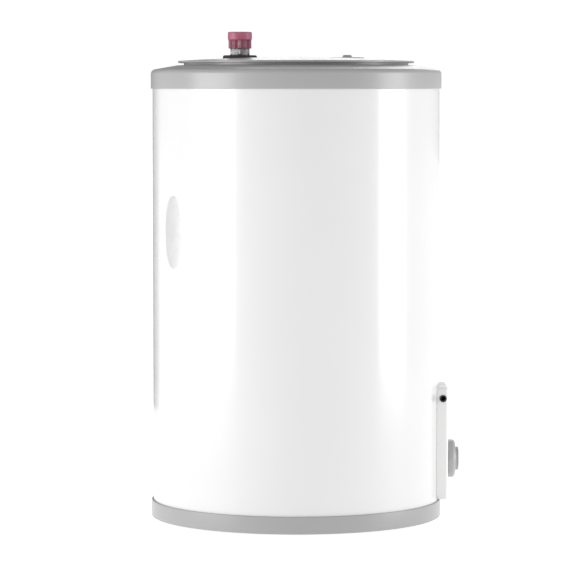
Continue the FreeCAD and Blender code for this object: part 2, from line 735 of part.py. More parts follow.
# ---------------------------------------------------------------- relief valve
def relief_body():
    """Temperature and pressure relief valve, with its outlet pointing down."""
    body = rod(RELIEF, 180, 203, THREAD_12).fuse([
        hexagon(RELIEF, 203, 213, HEX_34),
        rod(RELIEF, 213, 243, 15),
        rod(BRANCH, 0, RELIEF_Z - RELIEF_OUTLET_Z, 11),
    ])
    room = [
        rod(RELIEF, 170, 222.5, 6),
        rod(RELIEF, 222, 244, 11),
        rod(BRANCH, 0, 40, 6.5),
        rod(BRANCH, RELIEF_Z - RELIEF_OUTLET_Z - OUTLET_DEPTH, 40, 7.5),
    ]
    return body.cut(room).removeSplitter()


def relief_probe():
    """Sensing probe in the hot water, on a spider that lets water past."""
    spider = rod(RELIEF, 176, 179.8, 10.2)
    for azimuth in range(0, 360, 90):
        angle = math.radians(azimuth)
        offset = Vector(0, 7 * math.cos(angle), 7 * math.sin(angle))
        spider = spider.cut(rod((RELIEF[0] + offset, EAST), 170, 190, 2))
    return spider.fuse(rod(RELIEF, 100, 176, 4)).removeSplitter()


def relief_stem():
    """Valve disc, stem and the eye that the lever is pinned to."""
    stem = rod(RELIEF, 222.8, 225.3, 8.5).fuse([
        rod(RELIEF, 225.3, LEVER_PIVOT_X - 2, 2.4),
        rod(LEVER_PIVOT, -1.8, 1.8, 3.5),
    ])
    return stem.cut(rod(LEVER_PIVOT, -5, 5, 1.6)).removeSplitter()


def relief_spring():
    return coil(RELIEF, 225.5, 242.6, 6.5, 0.9, 4)


def relief_bonnet():
    """Cap that holds the spring; the lever's cam bears on its face."""
    cap = rod(RELIEF, 243, BONNET_FACE, 15)
    rim = [e for e in cap.Edges if isinstance(e.Curve, Part.Circle) and e.Curve.Center.x > 257]
    cap = cap.makeFillet(1.5, rim)
    return cap.cut([rod(RELIEF, 240, 260, 2.8), pipe(RELIEF, 242, 250, 8, 2.8)])


def relief_lever():
    """Test lever: two cam cheeks on a pin, and a plate that stands up beside the valve."""
    cam_at = LEVER_PIVOT[0] + Vector(CAM_CENTRE[0], 0, CAM_CENTRE[1])
    pieces = []
    for side in (-1, 1):
        near, far = sorted((side * CHEEK_Y[0], side * CHEEK_Y[1]))
        pieces.append(rod((cam_at, ACROSS), near, far, CAM_R))
        arm_x = (LEVER_PIVOT_X - 1.2, LEVER_PIVOT_X + 4)
        pieces.append(block(arm_x, (near, far), (RELIEF_Z, RELIEF_Z + 12)))
    plate = block((LEVER_PIVOT_X + 1.2, LEVER_PIVOT_X + 3.6), (-7, 7), (RELIEF_Z + 7, RELIEF_Z + 46))
    upright = [e for e in plate.Edges if abs(e.tangentAt(e.FirstParameter).x) > 0.99]
    plate = plate.makeFillet(3, upright)
    plate = plate.makeFillet(0.7, [e for e in plate.Edges if e.BoundBox.XLength < 1e-6])
    hole = rod((Vector(0, 0, RELIEF_Z + 39), EAST), 250, 280, 2.2)
    pieces += [plate, rod(LEVER_PIVOT, -CHEEK_Y[1], CHEEK_Y[1], 1.3)]
    return pieces[0].fuse(pieces[1:]).cut(hole).removeSplitter()


# ---------------------------------------------------------------- control cover
def control_cover():
    """Cover over the control recess: tray with rounded edges, shaped to the jacket."""
    back = -150.0
    skin = rounded_box(BOX_X, (-BOX_FRONT, back), BOX_Z, BOX_CORNER)
    front = [e for e in skin.Edges if abs(e.BoundBox.YMax + BOX_FRONT) < 1e-6]
    skin = skin.makeFillet(BOX_EDGE, front)
    inner_z = (BOX_Z[0] + BOX_WALL, BOX_Z[1] - BOX_WALL)
    inner_y = (-BOX_FRONT + BOX_WALL, back)
    hollow = rounded_box(BOX_X - BOX_WALL, inner_y, inner_z, BOX_CORNER - BOX_WALL)
    posts = [rod(radial(-90, z), JACKET_R + 0.4, BOX_FRONT - 1, 5.5) for z in COVER_SCREW_Z]
    recess = [rod(radial(-90, z), BOX_FRONT - 2.6, BOX_FRONT + 1, 4.0) for z in COVER_SCREW_Z]
    holes = [rod(radial(-90, z), 190, BOX_FRONT + 1, 1.9) for z in COVER_SCREW_Z]
    holes += [rod(KNOB, 190, BOX_FRONT + 1, 5.5), rod(LAMP, 190, BOX_FRONT + 1, LAMP_R + GAP)]
    holes += [rod(GLAND, BOX_X - 5, BOX_X + 1, 4.0)]
    bore = rod(CENTRE, 0, 300, JACKET_R + 0.15)
    return skin.cut(hollow).fuse(posts).cut(recess + holes + [bore]).removeSplitter()


def cover_screws():
    """The cover's two screws; the lower one goes a little deeper."""
    head = (BOX_FRONT - 0.7, BOX_FRONT - 2.5)
    tips = (188, 194)
    screws = []
    for z, tip in zip(COVER_SCREW_Z, tips):
        screws.append(screw(radial(-90, z), *head, COVER_SCREW_HEAD_R, tip, COVER_SCREW_R))
    return Part.makeCompound(screws)


def cable_gland():
    """Rubber bush where the supply cable would enter."""
    bush = turned(GLAND, [
        (3.2, BOX_X - 4),
        (4.6, BOX_X - 4),
        (4.6, BOX_X - 2.05),
        (3.9, BOX_X - 2.05),
        (3.9, BOX_X + 0.05),
        (5.0, BOX_X + 0.05),
        (5.0, BOX_X + 1.2),
        (on_circle(3.8, BOX_X + 1.2, 1.2, 45), (3.8, BOX_X + 2.4)),
        (3.2, BOX_X + 2.4),
    ])
    return bush


def pilot_lamp():
    """Amber lens clipped into the cover."""
    edge = 1.5
    return turned(LAMP, [
        (0, BOX_FRONT - 8),
        (LAMP_R, BOX_FRONT - 8),
        (LAMP_R, BOX_FRONT + 0.2),
        (on_circle(LAMP_R - edge, BOX_FRONT + 0.2, edge, 45), (LAMP_R - edge, BOX_FRONT + 1.7)),
        (0, BOX_FRONT + 1.7),
    ])


def control_knob():
    """Skirted dial with a raised grip."""
    bore = SPINDLE_R + GAP / 2
    rim, skirt, face = KNOB_BACK + 7.5, KNOB_BACK + 10.4, KNOB_BACK + 15.6
    knob = turned(KNOB, [
        (bore, KNOB_BACK),
        (KNOB_R, KNOB_BACK),
        (KNOB_R, rim),
        (KNOB_R - 2.6, skirt),
        (16.8, skirt),
        (16.2, face - 1),
        (15.0, face),
        (0, face),
        (0, face - 3.2),
        (bore, face - 3.2),
    ])
    return knob.cut(pipe(KNOB, KNOB_BACK - 1, rim, KNOB_R - 2.4, 7))


def thermostat_spindle():
    return rod(KNOB, 190, KNOB_BACK + 12.2, SPINDLE_R)


# ---------------------------------------------------------------- thermostat
def thermostat_body():
    case = block((-20, 20), (-198, -180.2), (KNOB_Z - 18, KNOB_Z + 18))
    case = case.fuse(rod(KNOB, 198, 202, 5))
    tabs = [block((x, x + 5), (-190, -189.2), (KNOB_Z - 15, KNOB_Z - 9)) for x in (-25, 20)]
    return case.fuse(tabs).cut(rod(KNOB, 189.4, 203, 3.35)).removeSplitter()


def thermostat_bracket():
    """Sheet channel that holds the thermostat off the tank."""
    plate = block((-22, 22), (-180.1, -178.6), (KNOB_Z - 18, KNOB_Z + 18))
    legs = [block((x, x + 1.5), (-179, -160), (KNOB_Z - 18, KNOB_Z + 18)) for x in (-22, 20.5)]
    return plate.fuse(legs).cut(rod(CENTRE, 0, 300, TANK_R + GAP)).removeSplitter()


def safety_cutout():
    """Manual-reset over-temperature cut-out."""
    x = (-LOWER_ROW_X - 12, -LOWER_ROW_X + 12)
    z = (LOWER_ROW_Z - 9, LOWER_ROW_Z + 9)
    return block(x, (-197, -179), z).cut(rod(RESET, 186, 198, 3.35))


def reset_button():
    return rod(RESET, 192.2, 200, 3)


def reset_spring():
    return coil(RESET, 186.1, 192.1, 2.4, 0.45, 3)


def terminal_block():
    x = (LOWER_ROW_X - 13, LOWER_ROW_X + 13)
    z = (LOWER_ROW_Z - 8, LOWER_ROW_Z + 8)
    body = block(x, (-193, -179), z)
    screws = [(Vector(LOWER_ROW_X + dx, 0, LOWER_ROW_Z), FRONT) for dx in (-8, 0, 8)]
    return body.cut([rod(axis, 188, 194, 2.6) for axis in screws])


def earth_stud():
    """Welded stud with its nut."""
    axis = (Vector(28.5, 0, KNOB_Z + 8), FRONT)
    stud = rod(axis, 160, 192, 2).fuse(hexagon(axis, 182, 185, 7))
    return stud.cut(rod(CENTRE, 0, 300, TANK_R + GAP)).removeSplitter()


# ---------------------------------------------------------------- heating element
def bolt_axes():
    axes = []
    for dx in (-BOLT_OFFSET, BOLT_OFFSET):
        axes += [(Vector(dx, 0, ELEMENT_Z + dz), FRONT) for dz in (-BOLT_OFFSET, BOLT_OFFSET)]
    return axes


def leg_axes():
    axes = []
    for z in HAIRPIN_Z:
        axes += [(Vector(x, 0, z), FRONT) for x in (-ELEMENT_LEGS_X, ELEMENT_LEGS_X)]
    return axes


def element_plate(start, end, half, bore):
    z = (ELEMENT_Z - half, ELEMENT_Z + half)
    plate = rounded_box(half, (-start, -end), z, 6)
    return plate.cut(rod(ELEMENT, start - 30, end + 30, bore))


def element_boss():
    """Square boss welded on the tank, tapped for the flange's bolts."""
    boss = element_plate(160, BOSS_FACE, BOSS_HALF, 21)
    taps = [rod(axis, 177, 190, 3.05) for axis in bolt_axes()]
    return boss.cut(taps + [rod(CENTRE, 0, 300, TANK_R)])


def element_gasket():
    gasket = element_plate(BOSS_FACE, BOSS_FACE + GASKET_T, BOSS_HALF - 1, 21.5)
    return gasket.cut([rod(axis, 180, 190, 3.3) for axis in bolt_axes()])


def element_flange():
    z = (ELEMENT_Z - BOSS_HALF + 1, ELEMENT_Z + BOSS_HALF - 1)
    flange = rounded_box(BOSS_HALF - 1, (-FLANGE_FACE, -BOSS_FACE - GASKET_T), z, 6)
    holes = [rod(axis, 180, 195, 3.3) for axis in bolt_axes()]
    holes += [rod(axis, 180, 195, 4.05) for axis in leg_axes()]
    return flange.cut(holes + [rod(POCKET, 180, 195, 4.85)])


def element_bolts():
    bolts = []
    for axis in bolt_axes():
        head = hexagon(axis, FLANGE_FACE + 1.2, FLANGE_FACE + 5, 10)
        washer = rod(axis, FLANGE_FACE, FLANGE_FACE + 1.2, 5.8)
        bolts.append(head.fuse([washer, rod(axis, 178, FLANGE_FACE + 1.2, 3)]).removeSplitter())
    return Part.makeCompound(bolts)


def heating_element():
    """Two hairpin sheaths that go in through the flange."""
    outer_end = -FLANGE_FACE - 2.0
    hairpins = []
    for z in HAIRPIN_Z:
        x, y = ELEMENT_LEGS_X, ELEMENT_REACH
        left = Part.makeLine(Vector(-x, outer_end, z), Vector(-x, y, z))
        bend = Part.Arc(Vector(-x, y, z), Vector(0, y + x, z), Vector(x, y, z)).toShape()
        right = Part.makeLine(Vector(x, y, z), Vector(x, outer_end, z))
        section = Part.Wire(Part.makeCircle(4, Vector(-x, outer_end, z), Vector(0, 1, 0)))
        hairpins.append(Part.Wire([left, bend, right]).makePipeShell([section], True, False))
    return Part.makeCompound(hairpins)


def element_terminals():
    """Ceramic beads with a terminal pin through each."""
    beads = []
    for axis in leg_axes():
        bead = taper(axis, FLANGE_FACE + 2.1, FLANGE_FACE + 5.5, 3.9, 3.0)
        beads.append(bead.fuse(rod(axis, FLANGE_FACE + 5.5, FLANGE_FACE + 12, 1.6)).removeSplitter())
    return Part.makeCompound(beads)


def sensor_pocket():
    """Closed tube through the flange, which the sensing bulbs sit in."""
    return rod(POCKET, 60, FLANGE_FACE + 1.5, 4.8).cut(rod(POCKET, 62, 200, 3.8))


def thermostat_bulb():
    """Sensing bulb in the pocket, and the capillary from it to the thermostat."""
    bulb = rod(POCKET, 70, 150, 3.2)
    start = Vector(0, -150, POCKET[0].z)
    side = 29.0
    points = [
        start,
        Vector(0, -199.5, POCKET[0].z),
        Vector(side, -199.5, POCKET[0].z - 6),
        Vector(side, -199.5, KNOB_Z + 2),
        Vector(side, -193, KNOB_Z - 6),
        Vector(20.1, -193, KNOB_Z - 6),
    ]
    return bulb.fuse(tube_along(points, 0.9, 3.5)).removeSplitter()


def internal_wiring():
    """Live, neutral and switched wires between the terminals, cut-out, thermostat and element."""
    low_z = HAIRPIN_Z[0]
    block_top = LOWER_ROW_Z + 8.1
    knob_high = KNOB_Z + 18.1
    tip = -FLANGE_FACE - 9
    runs = [
        [
            Vector(10, -186, block_top), Vector(10, -186, block_top + 4),
            Vector(10, -196.5, block_top + 4), Vector(-14, -196.5, block_top + 4),
            Vector(-14, -186, block_top + 4), Vector(-14, -186, LOWER_ROW_Z + 9.1),
        ],
        [
            Vector(-26, -186, LOWER_ROW_Z + 9.1), Vector(-26, -186, KNOB_Z + 4),
            Vector(-20.1, -186, KNOB_Z + 4),
        ],
        [
            Vector(-12, -190, knob_high), Vector(-12, -190, knob_high + 3.5),
            Vector(-12, tip, knob_high + 9), Vector(-ELEMENT_LEGS_X, tip, low_z - 1.7),
        ],
        [
            Vector(26, -186, block_top), Vector(26, -186, block_top + 4),
            Vector(26, -205, KNOB_Z), Vector(22, -205, low_z - 16),
            Vector(ELEMENT_LEGS_X, tip, low_z - 8), Vector(ELEMENT_LEGS_X, tip, low_z - 1.7),
        ],
    ]
    return Part.makeCompound([tube_along(points, 1.2, 1.8) for points in runs])


NODES = {
    "base_pan": base_pan,
    "rubber_feet": rubber_feet,
    "base_screws": base_screws,
    "base_insulation": base_insulation,
    "tank_stand": tank_stand,
    "jacket": jacket,
    "top_cover": top_cover,
    "top_lid": top_lid,
    "lid_screws": lid_screws,
    "anode_access_cap": anode_access_cap,
    "label_badge": label_badge,
    "cold_inlet_ring": escutcheon,
    "foam_insulation": foam_insulation,
    "foam_dam": foam_dam,
    "tank_shell": tank_shell,
    "tank_top_head": tank_top_head,
    "tank_bottom_head": tank_bottom_head,
    "top_sockets": top_sockets,
    "cold_inlet_socket": cold_socket,
    "inlet_diffuser": inlet_diffuser,
    "drain_socket": drain_socket,
    "relief_socket": relief_socket,
    "hot_nipple": hot_nipple,
    "hot_grommet": hot_grommet,
    "hot_outlet_cap": hot_cap,
    "heat_trap": heat_trap,
    "anode_plug": anode_plug,
    "anode_rod": anode_rod,
    "drain_valve_body": drain_body,
    "drain_valve_ball": drain_ball,
    "drain_valve_handle": drain_handle,
    "relief_valve_body": relief_body,
    "relief_valve_probe": relief_probe,
    "relief_valve_stem": relief_stem,
    "relief_valve_spring": relief_spring,
    "relief_valve_bonnet": relief_bonnet,
    "relief_valve_lever": relief_lever,
    "control_cover": control_cover,
    "control_cover_screws": cover_screws,
    "cable_gland": cable_gland,
    "pilot_lamp": pilot_lamp,
    "control_knob": control_knob,
    "thermostat_spindle": thermostat_spindle,
    "thermostat_body": thermostat_body,
    "thermostat_bracket": thermostat_bracket,
    "thermostat_bulb": thermostat_bulb,
    "safety_cutout": safety_cutout,
    "reset_button": reset_button,
    "reset_spring": reset_spring,
    "terminal_block": terminal_block,
    "earth_stud": earth_stud,
    "element_boss": element_boss,
    "element_gasket": element_gasket,
    "element_flange": element_flange,
    "element_bolts": element_bolts,
    "heating_element": heating_element,
    "element_terminals": element_terminals,
    "sensor_pocket": sensor_pocket,
    "internal_wiring": internal_wiring,
}

os.makedirs("parts", exist_ok=True)
for name, make in NODES.items():
    shape = make()
    if not shape.isValid() or not shape.Solids:
        raise ValueError(name + " did not come out as a valid solid")
    shape.exportStep("parts/" + name + ".step")
    print(name, len(shape.Solids), round(shape.Volume))
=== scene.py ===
"""Looks for a floor-standing tank water heater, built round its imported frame.

The frame's parts keep their shapes and get their finishes here. The pieces with threads, ribs,
screw recesses or printed marks are built in mesh code and stand for the plain parts they cover.
Lengths are in metres.
"""
import json
import math

import bmesh
import bpy
from bpy.props import FloatProperty, FloatVectorProperty, IntProperty, PointerProperty
from mathutils import Matrix, Vector


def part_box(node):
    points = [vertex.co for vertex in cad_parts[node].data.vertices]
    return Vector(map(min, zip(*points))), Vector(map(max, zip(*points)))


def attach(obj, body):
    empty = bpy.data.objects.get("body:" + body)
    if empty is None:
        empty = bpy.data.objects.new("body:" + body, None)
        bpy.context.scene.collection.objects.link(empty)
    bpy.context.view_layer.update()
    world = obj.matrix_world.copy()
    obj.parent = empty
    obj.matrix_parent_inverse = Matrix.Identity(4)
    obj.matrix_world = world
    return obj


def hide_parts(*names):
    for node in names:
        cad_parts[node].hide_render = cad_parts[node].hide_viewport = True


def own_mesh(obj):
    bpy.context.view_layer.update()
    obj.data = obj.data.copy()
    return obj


bl_info = {
    "name": "Tank Water Heater",
    "version": (1, 0, 0),
    "blender": (4, 5, 0),
    "location": "View3D > Sidebar > Heater",
    "description": "Finishes and detailed pieces for a tank water heater",
    "category": "Add Mesh",
}

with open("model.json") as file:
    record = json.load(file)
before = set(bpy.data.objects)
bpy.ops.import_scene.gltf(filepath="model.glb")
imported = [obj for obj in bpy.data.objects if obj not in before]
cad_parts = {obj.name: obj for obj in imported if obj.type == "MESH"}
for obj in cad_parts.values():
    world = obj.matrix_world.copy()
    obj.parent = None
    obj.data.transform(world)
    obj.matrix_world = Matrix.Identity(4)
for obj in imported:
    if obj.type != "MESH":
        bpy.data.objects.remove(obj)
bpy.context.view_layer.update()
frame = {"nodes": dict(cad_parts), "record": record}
NODES = frame["nodes"]
MOUNTS = {mount["name"]: mount for mount in frame["record"]["mounts"]}
JOINTS = {joint["name"]: joint for joint in frame["record"]["behaviour"]["joints"]}

MM = 0.001
UP = Vector((0, 0, 1))
TURN = 2 * math.pi
SHARP = math.radians(32)
WELD_DISTANCE = 2e-6


# ---------------------------------------------------------------- places in the frame
def box_centre(node):
    low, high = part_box(node)
    return (low + high) / 2


def half_width(node, along=0):
    low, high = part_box(node)
    return (high[along] - low[along]) / 2


def axis_matrix(origin, direction):
    """Carries a piece made along +Z from the origin to its own axis."""
    turn = Vector(direction).to_track_quat("Z", "Y").to_matrix().to_4x4()
    if Vector(direction) == UP:
        turn = Matrix.Identity(4)
    return Matrix.Translation(origin) @ turn


def outlet_axis():
    """The hot outlet's axis at floor level."""
    centre = box_centre("hot_outlet_cap")
    return Matrix.Translation((centre.x, centre.y, 0))


def panel_axis(x, z):
    """An axis that leaves the front of the heater; heights count from the tank's centre line."""
    return axis_matrix((x, 0, z), (0, -1, 0))


# ---------------------------------------------------------------- mesh helpers
def new_object(name, mesh):
    piece = bpy.data.objects.new(name, mesh)
    bpy.context.scene.collection.objects.link(piece)
    return piece


def rounded(points, steps=5):
    """Profile points (radius, height, rounding), with each rounded corner as an arc."""
    profile = []
    for index, (radius, height, rounding) in enumerate(points):
        corner = Vector((radius, height))
        if not rounding:
            profile.append(corner)
            continue
        before = (Vector(points[index - 1][:2]) - corner).normalized()
        after = (Vector(points[(index + 1) % len(points)][:2]) - corner).normalized()
        half = before.angle(after) / 2
        centre = corner + (before + after).normalized() * rounding / math.sin(half)
        first = corner + before * rounding / math.tan(half) - centre
        last = corner + after * rounding / math.tan(half) - centre
        sweep = first.angle_signed(last)
        for step in range(steps + 1):
            profile.append(centre + Matrix.Rotation(-sweep * step / steps, 2) @ first)
    return profile


def side(radius, low, high, count):
    """Evenly spaced points up a straight side."""
    return [(radius, low + (high - low) * step / count, 0) for step in range(count + 1)]


def hexagon_limit(angle, across_flats):
    """Distance from the centre to a hexagon's side, with a corner at angle 0."""
    within = (angle + TURN / 12) % (TURN / 6) - TURN / 12
    return across_flats / 2 / math.cos(abs(within) - TURN / 12)


def lathe(name, points, segments=96, hexagon=None, relief=None):
    """Closed turned mesh along +Z from (radius, height, rounding) points in millimetres.

    hexagon is (low, high, across flats): between those heights the sides follow a hexagon.
    relief is (low, high, fade, smallest radius): where the outside may be ribbed or threaded.
    """
    profile = rounded(points)
    mesh = bmesh.new()
    weight = mesh.verts.layers.float.new("relief")
    rings = []
    for point in profile:
        radius, height = point
        if radius < 1e-6:
            rings.append([mesh.verts.new((0, 0, height))])
            continue
        ring = []
        for segment in range(segments):
            angle = TURN * segment / segments
            reach = radius
            if hexagon and hexagon[0] <= height <= hexagon[1]:
                reach = min(radius, hexagon_limit(angle, hexagon[2]))
            vertex = mesh.verts.new((reach * math.cos(angle), reach * math.sin(angle), height))
            if relief and radius >= relief[3]:
                inside = min(height - relief[0], relief[1] - height) / relief[2]
                vertex[weight] = max(0.0, min(1.0, inside))
            ring.append(vertex)
        rings.append(ring)
    whole_loop = len(rings[0]) > 1
    for index in range(len(rings) if whole_loop else len(rings) - 1):
        lower, upper = rings[index], rings[(index + 1) % len(rings)]
        for segment in range(segments):
            after = (segment + 1) % segments
            if len(lower) == 1 and len(upper) == 1:
                break
            if len(lower) == 1:
                mesh.faces.new((lower[0], upper[after], upper[segment]))
            elif len(upper) == 1:
                mesh.faces.new((lower[segment], lower[after], upper[0]))
            else:
                mesh.faces.new((lower[segment], lower[after], upper[after], upper[segment]))
    bmesh.ops.remove_doubles(mesh, verts=mesh.verts, dist=1e-5)
    bmesh.ops.recalc_face_normals(mesh, faces=mesh.faces)
    bmesh.ops.scale(mesh, vec=(MM,) * 3, verts=mesh.verts)
    data = bpy.data.meshes.new(name)
    mesh.to_mesh(data)
    mesh.free()
    return new_object(name, data)


def settle(piece, place=None):
    """Turns a piece's modifiers into its plain mesh, and puts its place into the mesh."""
    depsgraph = bpy.context.evaluated_depsgraph_get()
    plain = bpy.data.meshes.new_from_object(piece.evaluated_get(depsgraph))
    piece.modifiers.clear()
    piece.data = plain
    if place is not None:
        plain.transform(place)
    crease(plain)
    return piece


def crease(mesh, angle=SHARP):
    """Smooth shading, apart from the edges that are really sharp."""
    mesh.shade_smooth()
    mesh.set_sharp_from_angle(angle=angle)


def dress(piece, material, body, slot, *nodes):
    """Gives a finished piece its material and its body, and hides the nodes it covers. The slot argument
    is not used.
    """
    piece.data.materials.clear()
    piece.data.materials.append(material)
    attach(piece, body)
    if nodes:
        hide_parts(*nodes)
    return piece


def merge(name, pieces):
    """One object from several plain ones."""
    mesh = bmesh.new()
    for piece in pieces:
        mesh.from_mesh(piece.data)
        bpy.data.objects.remove(piece)
    data = bpy.data.meshes.new(name)
    mesh.to_mesh(data)
    mesh.free()
    return new_object(name, data)


def combine(piece, others, operation):
    """Adds or takes away other closed meshes, and removes them."""
    for other in others:
        modifier = piece.modifiers.new(operation, "BOOLEAN")
        modifier.operation = operation
        modifier.solver = "EXACT"
        modifier.object = other
    settle(piece)
    for other in others:
        bpy.data.objects.remove(other)
    return piece


# ---------------------------------------------------------------- geometry node trees
class Tree:
    """A geometry node tree with named inputs."""

    def __init__(self, name):
        self.group = bpy.data.node_groups.new(name, "GeometryNodeTree")
        interface = self.group.interface
        interface.new_socket("Geometry", in_out="INPUT", socket_type="NodeSocketGeometry")
        interface.new_socket("Geometry", in_out="OUTPUT", socket_type="NodeSocketGeometry")
        self.start = self.group.nodes.new("NodeGroupInput")
        self.end = self.group.nodes.new("NodeGroupOutput")

    def input(self, name, kind, default=None):
        socket = self.group.interface.new_socket(
            name, in_out="INPUT", socket_type="NodeSocket" + kind
        )
        if default is not None:
            socket.default_value = default
        return self.start.outputs[name]

    def node(self, kind, inputs=None, **settings):
        made = self.group.nodes.new(kind)
        for name, value in settings.items():
            setattr(made, name, value)
        for name, value in (inputs or {}).items():
            if isinstance(value, bpy.types.NodeSocket):
                self.group.links.new(value, made.inputs[name])
            else:
                made.inputs[name].default_value = value
        return made

    def math(self, operation, first, second=0.0):
        made = self.node("ShaderNodeMath", {0: first, 1: second}, operation=operation)
        return made.outputs[0]

    def finish(self, geometry, material):
        """Ends the tree in Realize Instances and Set Material."""
        realized = self.node("GeometryNodeRealizeInstances", {"Geometry": geometry})
        painted = self.node(
            "GeometryNodeSetMaterial", {"Geometry": realized.outputs[0], "Material": material}
        )
        self.group.links.new(painted.outputs[0], self.end.inputs[0])
        return self.group

    def polar(self):
        """Angle round Z, height, and the outward direction of each point."""
        position = self.node("GeometryNodeInputPosition").outputs[0]
        split = self.node("ShaderNodeSeparateXYZ", {0: position})
        angle = self.math("ARCTAN2", split.outputs[1], split.outputs[0])
        flat = self.node("ShaderNodeCombineXYZ", {0: split.outputs[0], 1: split.outputs[1]})
        outward = self.node("ShaderNodeVectorMath", {0: flat.outputs[0]}, operation="NORMALIZE")
        return angle, split.outputs[2], outward.outputs[0]

    def sink(self, depth, outward):
        """Moves the surface inwards by depth where its relief attribute allows."""
        weight = self.node("GeometryNodeInputNamedAttribute", {"Name": "relief"})
        amount = self.math("MULTIPLY", depth, weight.outputs[0])
        inward = self.math("MULTIPLY", amount, -1.0)
        offset = self.node(
            "ShaderNodeVectorMath", {0: outward, "Scale": inward}, operation="SCALE"
        )
        moved = self.node(
            "GeometryNodeSetPosition",
            {"Geometry": self.start.outputs["Geometry"], "Offset": offset.outputs[0]},
        )
        return moved.outputs[0]


def flute_tree():
    """Even grooves round a turned piece."""
    tree = Tree("Flutes")
    count = tree.input("Count", "Int", 24)
    depth = tree.input("Depth", "Float", 0.001)
    narrowness = tree.input("Narrowness", "Float", 1.0)
    material = tree.input("Material", "Material")
    angle, _, outward = tree.polar()
    wave = tree.math("COSINE", tree.math("MULTIPLY", angle, count))
    valley = tree.math("MULTIPLY", tree.math("SUBTRACT", 1.0, wave), 0.5)
    groove = tree.math("MULTIPLY", tree.math("POWER", valley, narrowness), depth)
    return tree.finish(tree.sink(groove, outward), material)


def thread_tree():
    """A helical thread cut into a turned piece; a negative depth cuts it outwards."""
    tree = Tree("Thread")
    pitch = tree.input("Pitch", "Float", 0.0018)
    depth = tree.input("Depth", "Float", 0.001)
    material = tree.input("Material", "Material")
    angle, height, outward = tree.polar()
    turns = tree.math("DIVIDE", angle, TURN)
    phase = tree.math("FRACT", tree.math("SUBTRACT", tree.math("DIVIDE", height, pitch), turns))
    slope = tree.math("ABSOLUTE", tree.math("SUBTRACT", tree.math("MULTIPLY", phase, 2.0), 1.0))
    flank = tree.node(
        "ShaderNodeMapRange", {"Value": slope, "From Min": 0.12, "From Max": 0.88}
    )
    groove = tree.math("MULTIPLY", flank.outputs[0], depth)
    return tree.finish(tree.sink(groove, outward), material)


def scatter_tree():
    """A copy of one piece at each point, along its axis and turned by its own angle."""
    tree = Tree("Screws")
    screw = tree.input("Screw", "Object")
    material = tree.input("Material", "Material")
    points = tree.node("GeometryNodeMeshToPoints", {"Mesh": tree.start.outputs["Geometry"]})
    source = tree.node("GeometryNodeObjectInfo", {"Object": screw})
    axis = tree.node(
        "GeometryNodeInputNamedAttribute", {"Name": "axis"}, data_type="FLOAT_VECTOR"
    )
    turn = tree.node("GeometryNodeInputNamedAttribute", {"Name": "turn"})
    aligned = tree.node("FunctionNodeAlignRotationToVector", {"Vector": axis.outputs[0]}, axis="Z")
    spin = tree.node("FunctionNodeAxisAngleToRotation", {"Angle": turn.outputs[0]})
    both = tree.node(
        "FunctionNodeRotateRotation",
        {"Rotation": aligned.outputs[0], "Rotate By": spin.outputs[0]},
        rotation_space="LOCAL",
    )
    placed = tree.node(
        "GeometryNodeInstanceOnPoints",
        {
            "Points": points.outputs[0],
            "Instance": source.outputs["Geometry"],
            "Rotation": both.outputs[0],
        },
    )
    return tree.finish(placed.outputs[0], material)


def mark_tree():
    """Printed bars spread evenly along an arc, each longer than the one before it."""
    tree = Tree("Dial marks")
    count = tree.input("Count", "Int", 11)
    radius = tree.input("Radius", "Float", 0.03)
    first = tree.input("First angle", "Float", 0.0)
    sweep = tree.input("Sweep", "Float", 4.7)
    shortest = tree.input("Shortest", "Float", 0.0015)
    longest = tree.input("Longest", "Float", 0.004)
    width = tree.input("Width", "Float", 0.0006)
    thickness = tree.input("Thickness", "Float", 0.0001)
    material = tree.input("Material", "Material")
    line = tree.node("GeometryNodeMeshLine", {"Count": count})
    index = tree.node("GeometryNodeInputIndex").outputs[0]
    part = tree.math("DIVIDE", index, tree.math("SUBTRACT", count, 1.0))
    angle = tree.math("ADD", first, tree.math("MULTIPLY", part, sweep))
    length = tree.math(
        "ADD", shortest, tree.math("MULTIPLY", part, tree.math("SUBTRACT", longest, shortest))
    )
    reach = tree.math("ADD", radius, tree.math("MULTIPLY", length, 0.5))
    place = tree.node(
        "ShaderNodeCombineXYZ",
        {
            0: tree.math("MULTIPLY", tree.math("COSINE", angle), reach),
            1: tree.math("MULTIPLY", tree.math("SINE", angle), reach),
        },
    )
    points = tree.node(
        "GeometryNodeSetPosition", {"Geometry": line.outputs[0], "Position": place.outputs[0]}
    )
    bar = tree.node("GeometryNodeMeshCube", {"Size": (1.0, 1.0, 1.0)})
    turned = tree.node("ShaderNodeCombineXYZ", {2: angle})
    size = tree.node("ShaderNodeCombineXYZ", {0: length, 1: width, 2: thickness})
    placed = tree.node(
        "GeometryNodeInstanceOnPoints",
        {
            "Points": points.outputs[0],
            "Instance": bar.outputs[0],
            "Rotation": turned.outputs[0],
            "Scale": size.outputs[0],
        },
    )
    return tree.finish(placed.outputs[0], material)


TREES = {}


def shaped(piece, make_tree, **values):
    """Adds a node tree's modifier to a piece and sets its named inputs."""
    group = TREES.get(make_tree) or TREES.setdefault(make_tree, make_tree())
    modifier = piece.modifiers.new(group.name, "NODES")
    modifier.node_group = group
    for item in group.interface.items_tree:
        key = item.name.replace(" ", "_").lower()
        if item.in_out == "INPUT" and key in values:
            modifier[item.identifier] = values[key]
    return piece


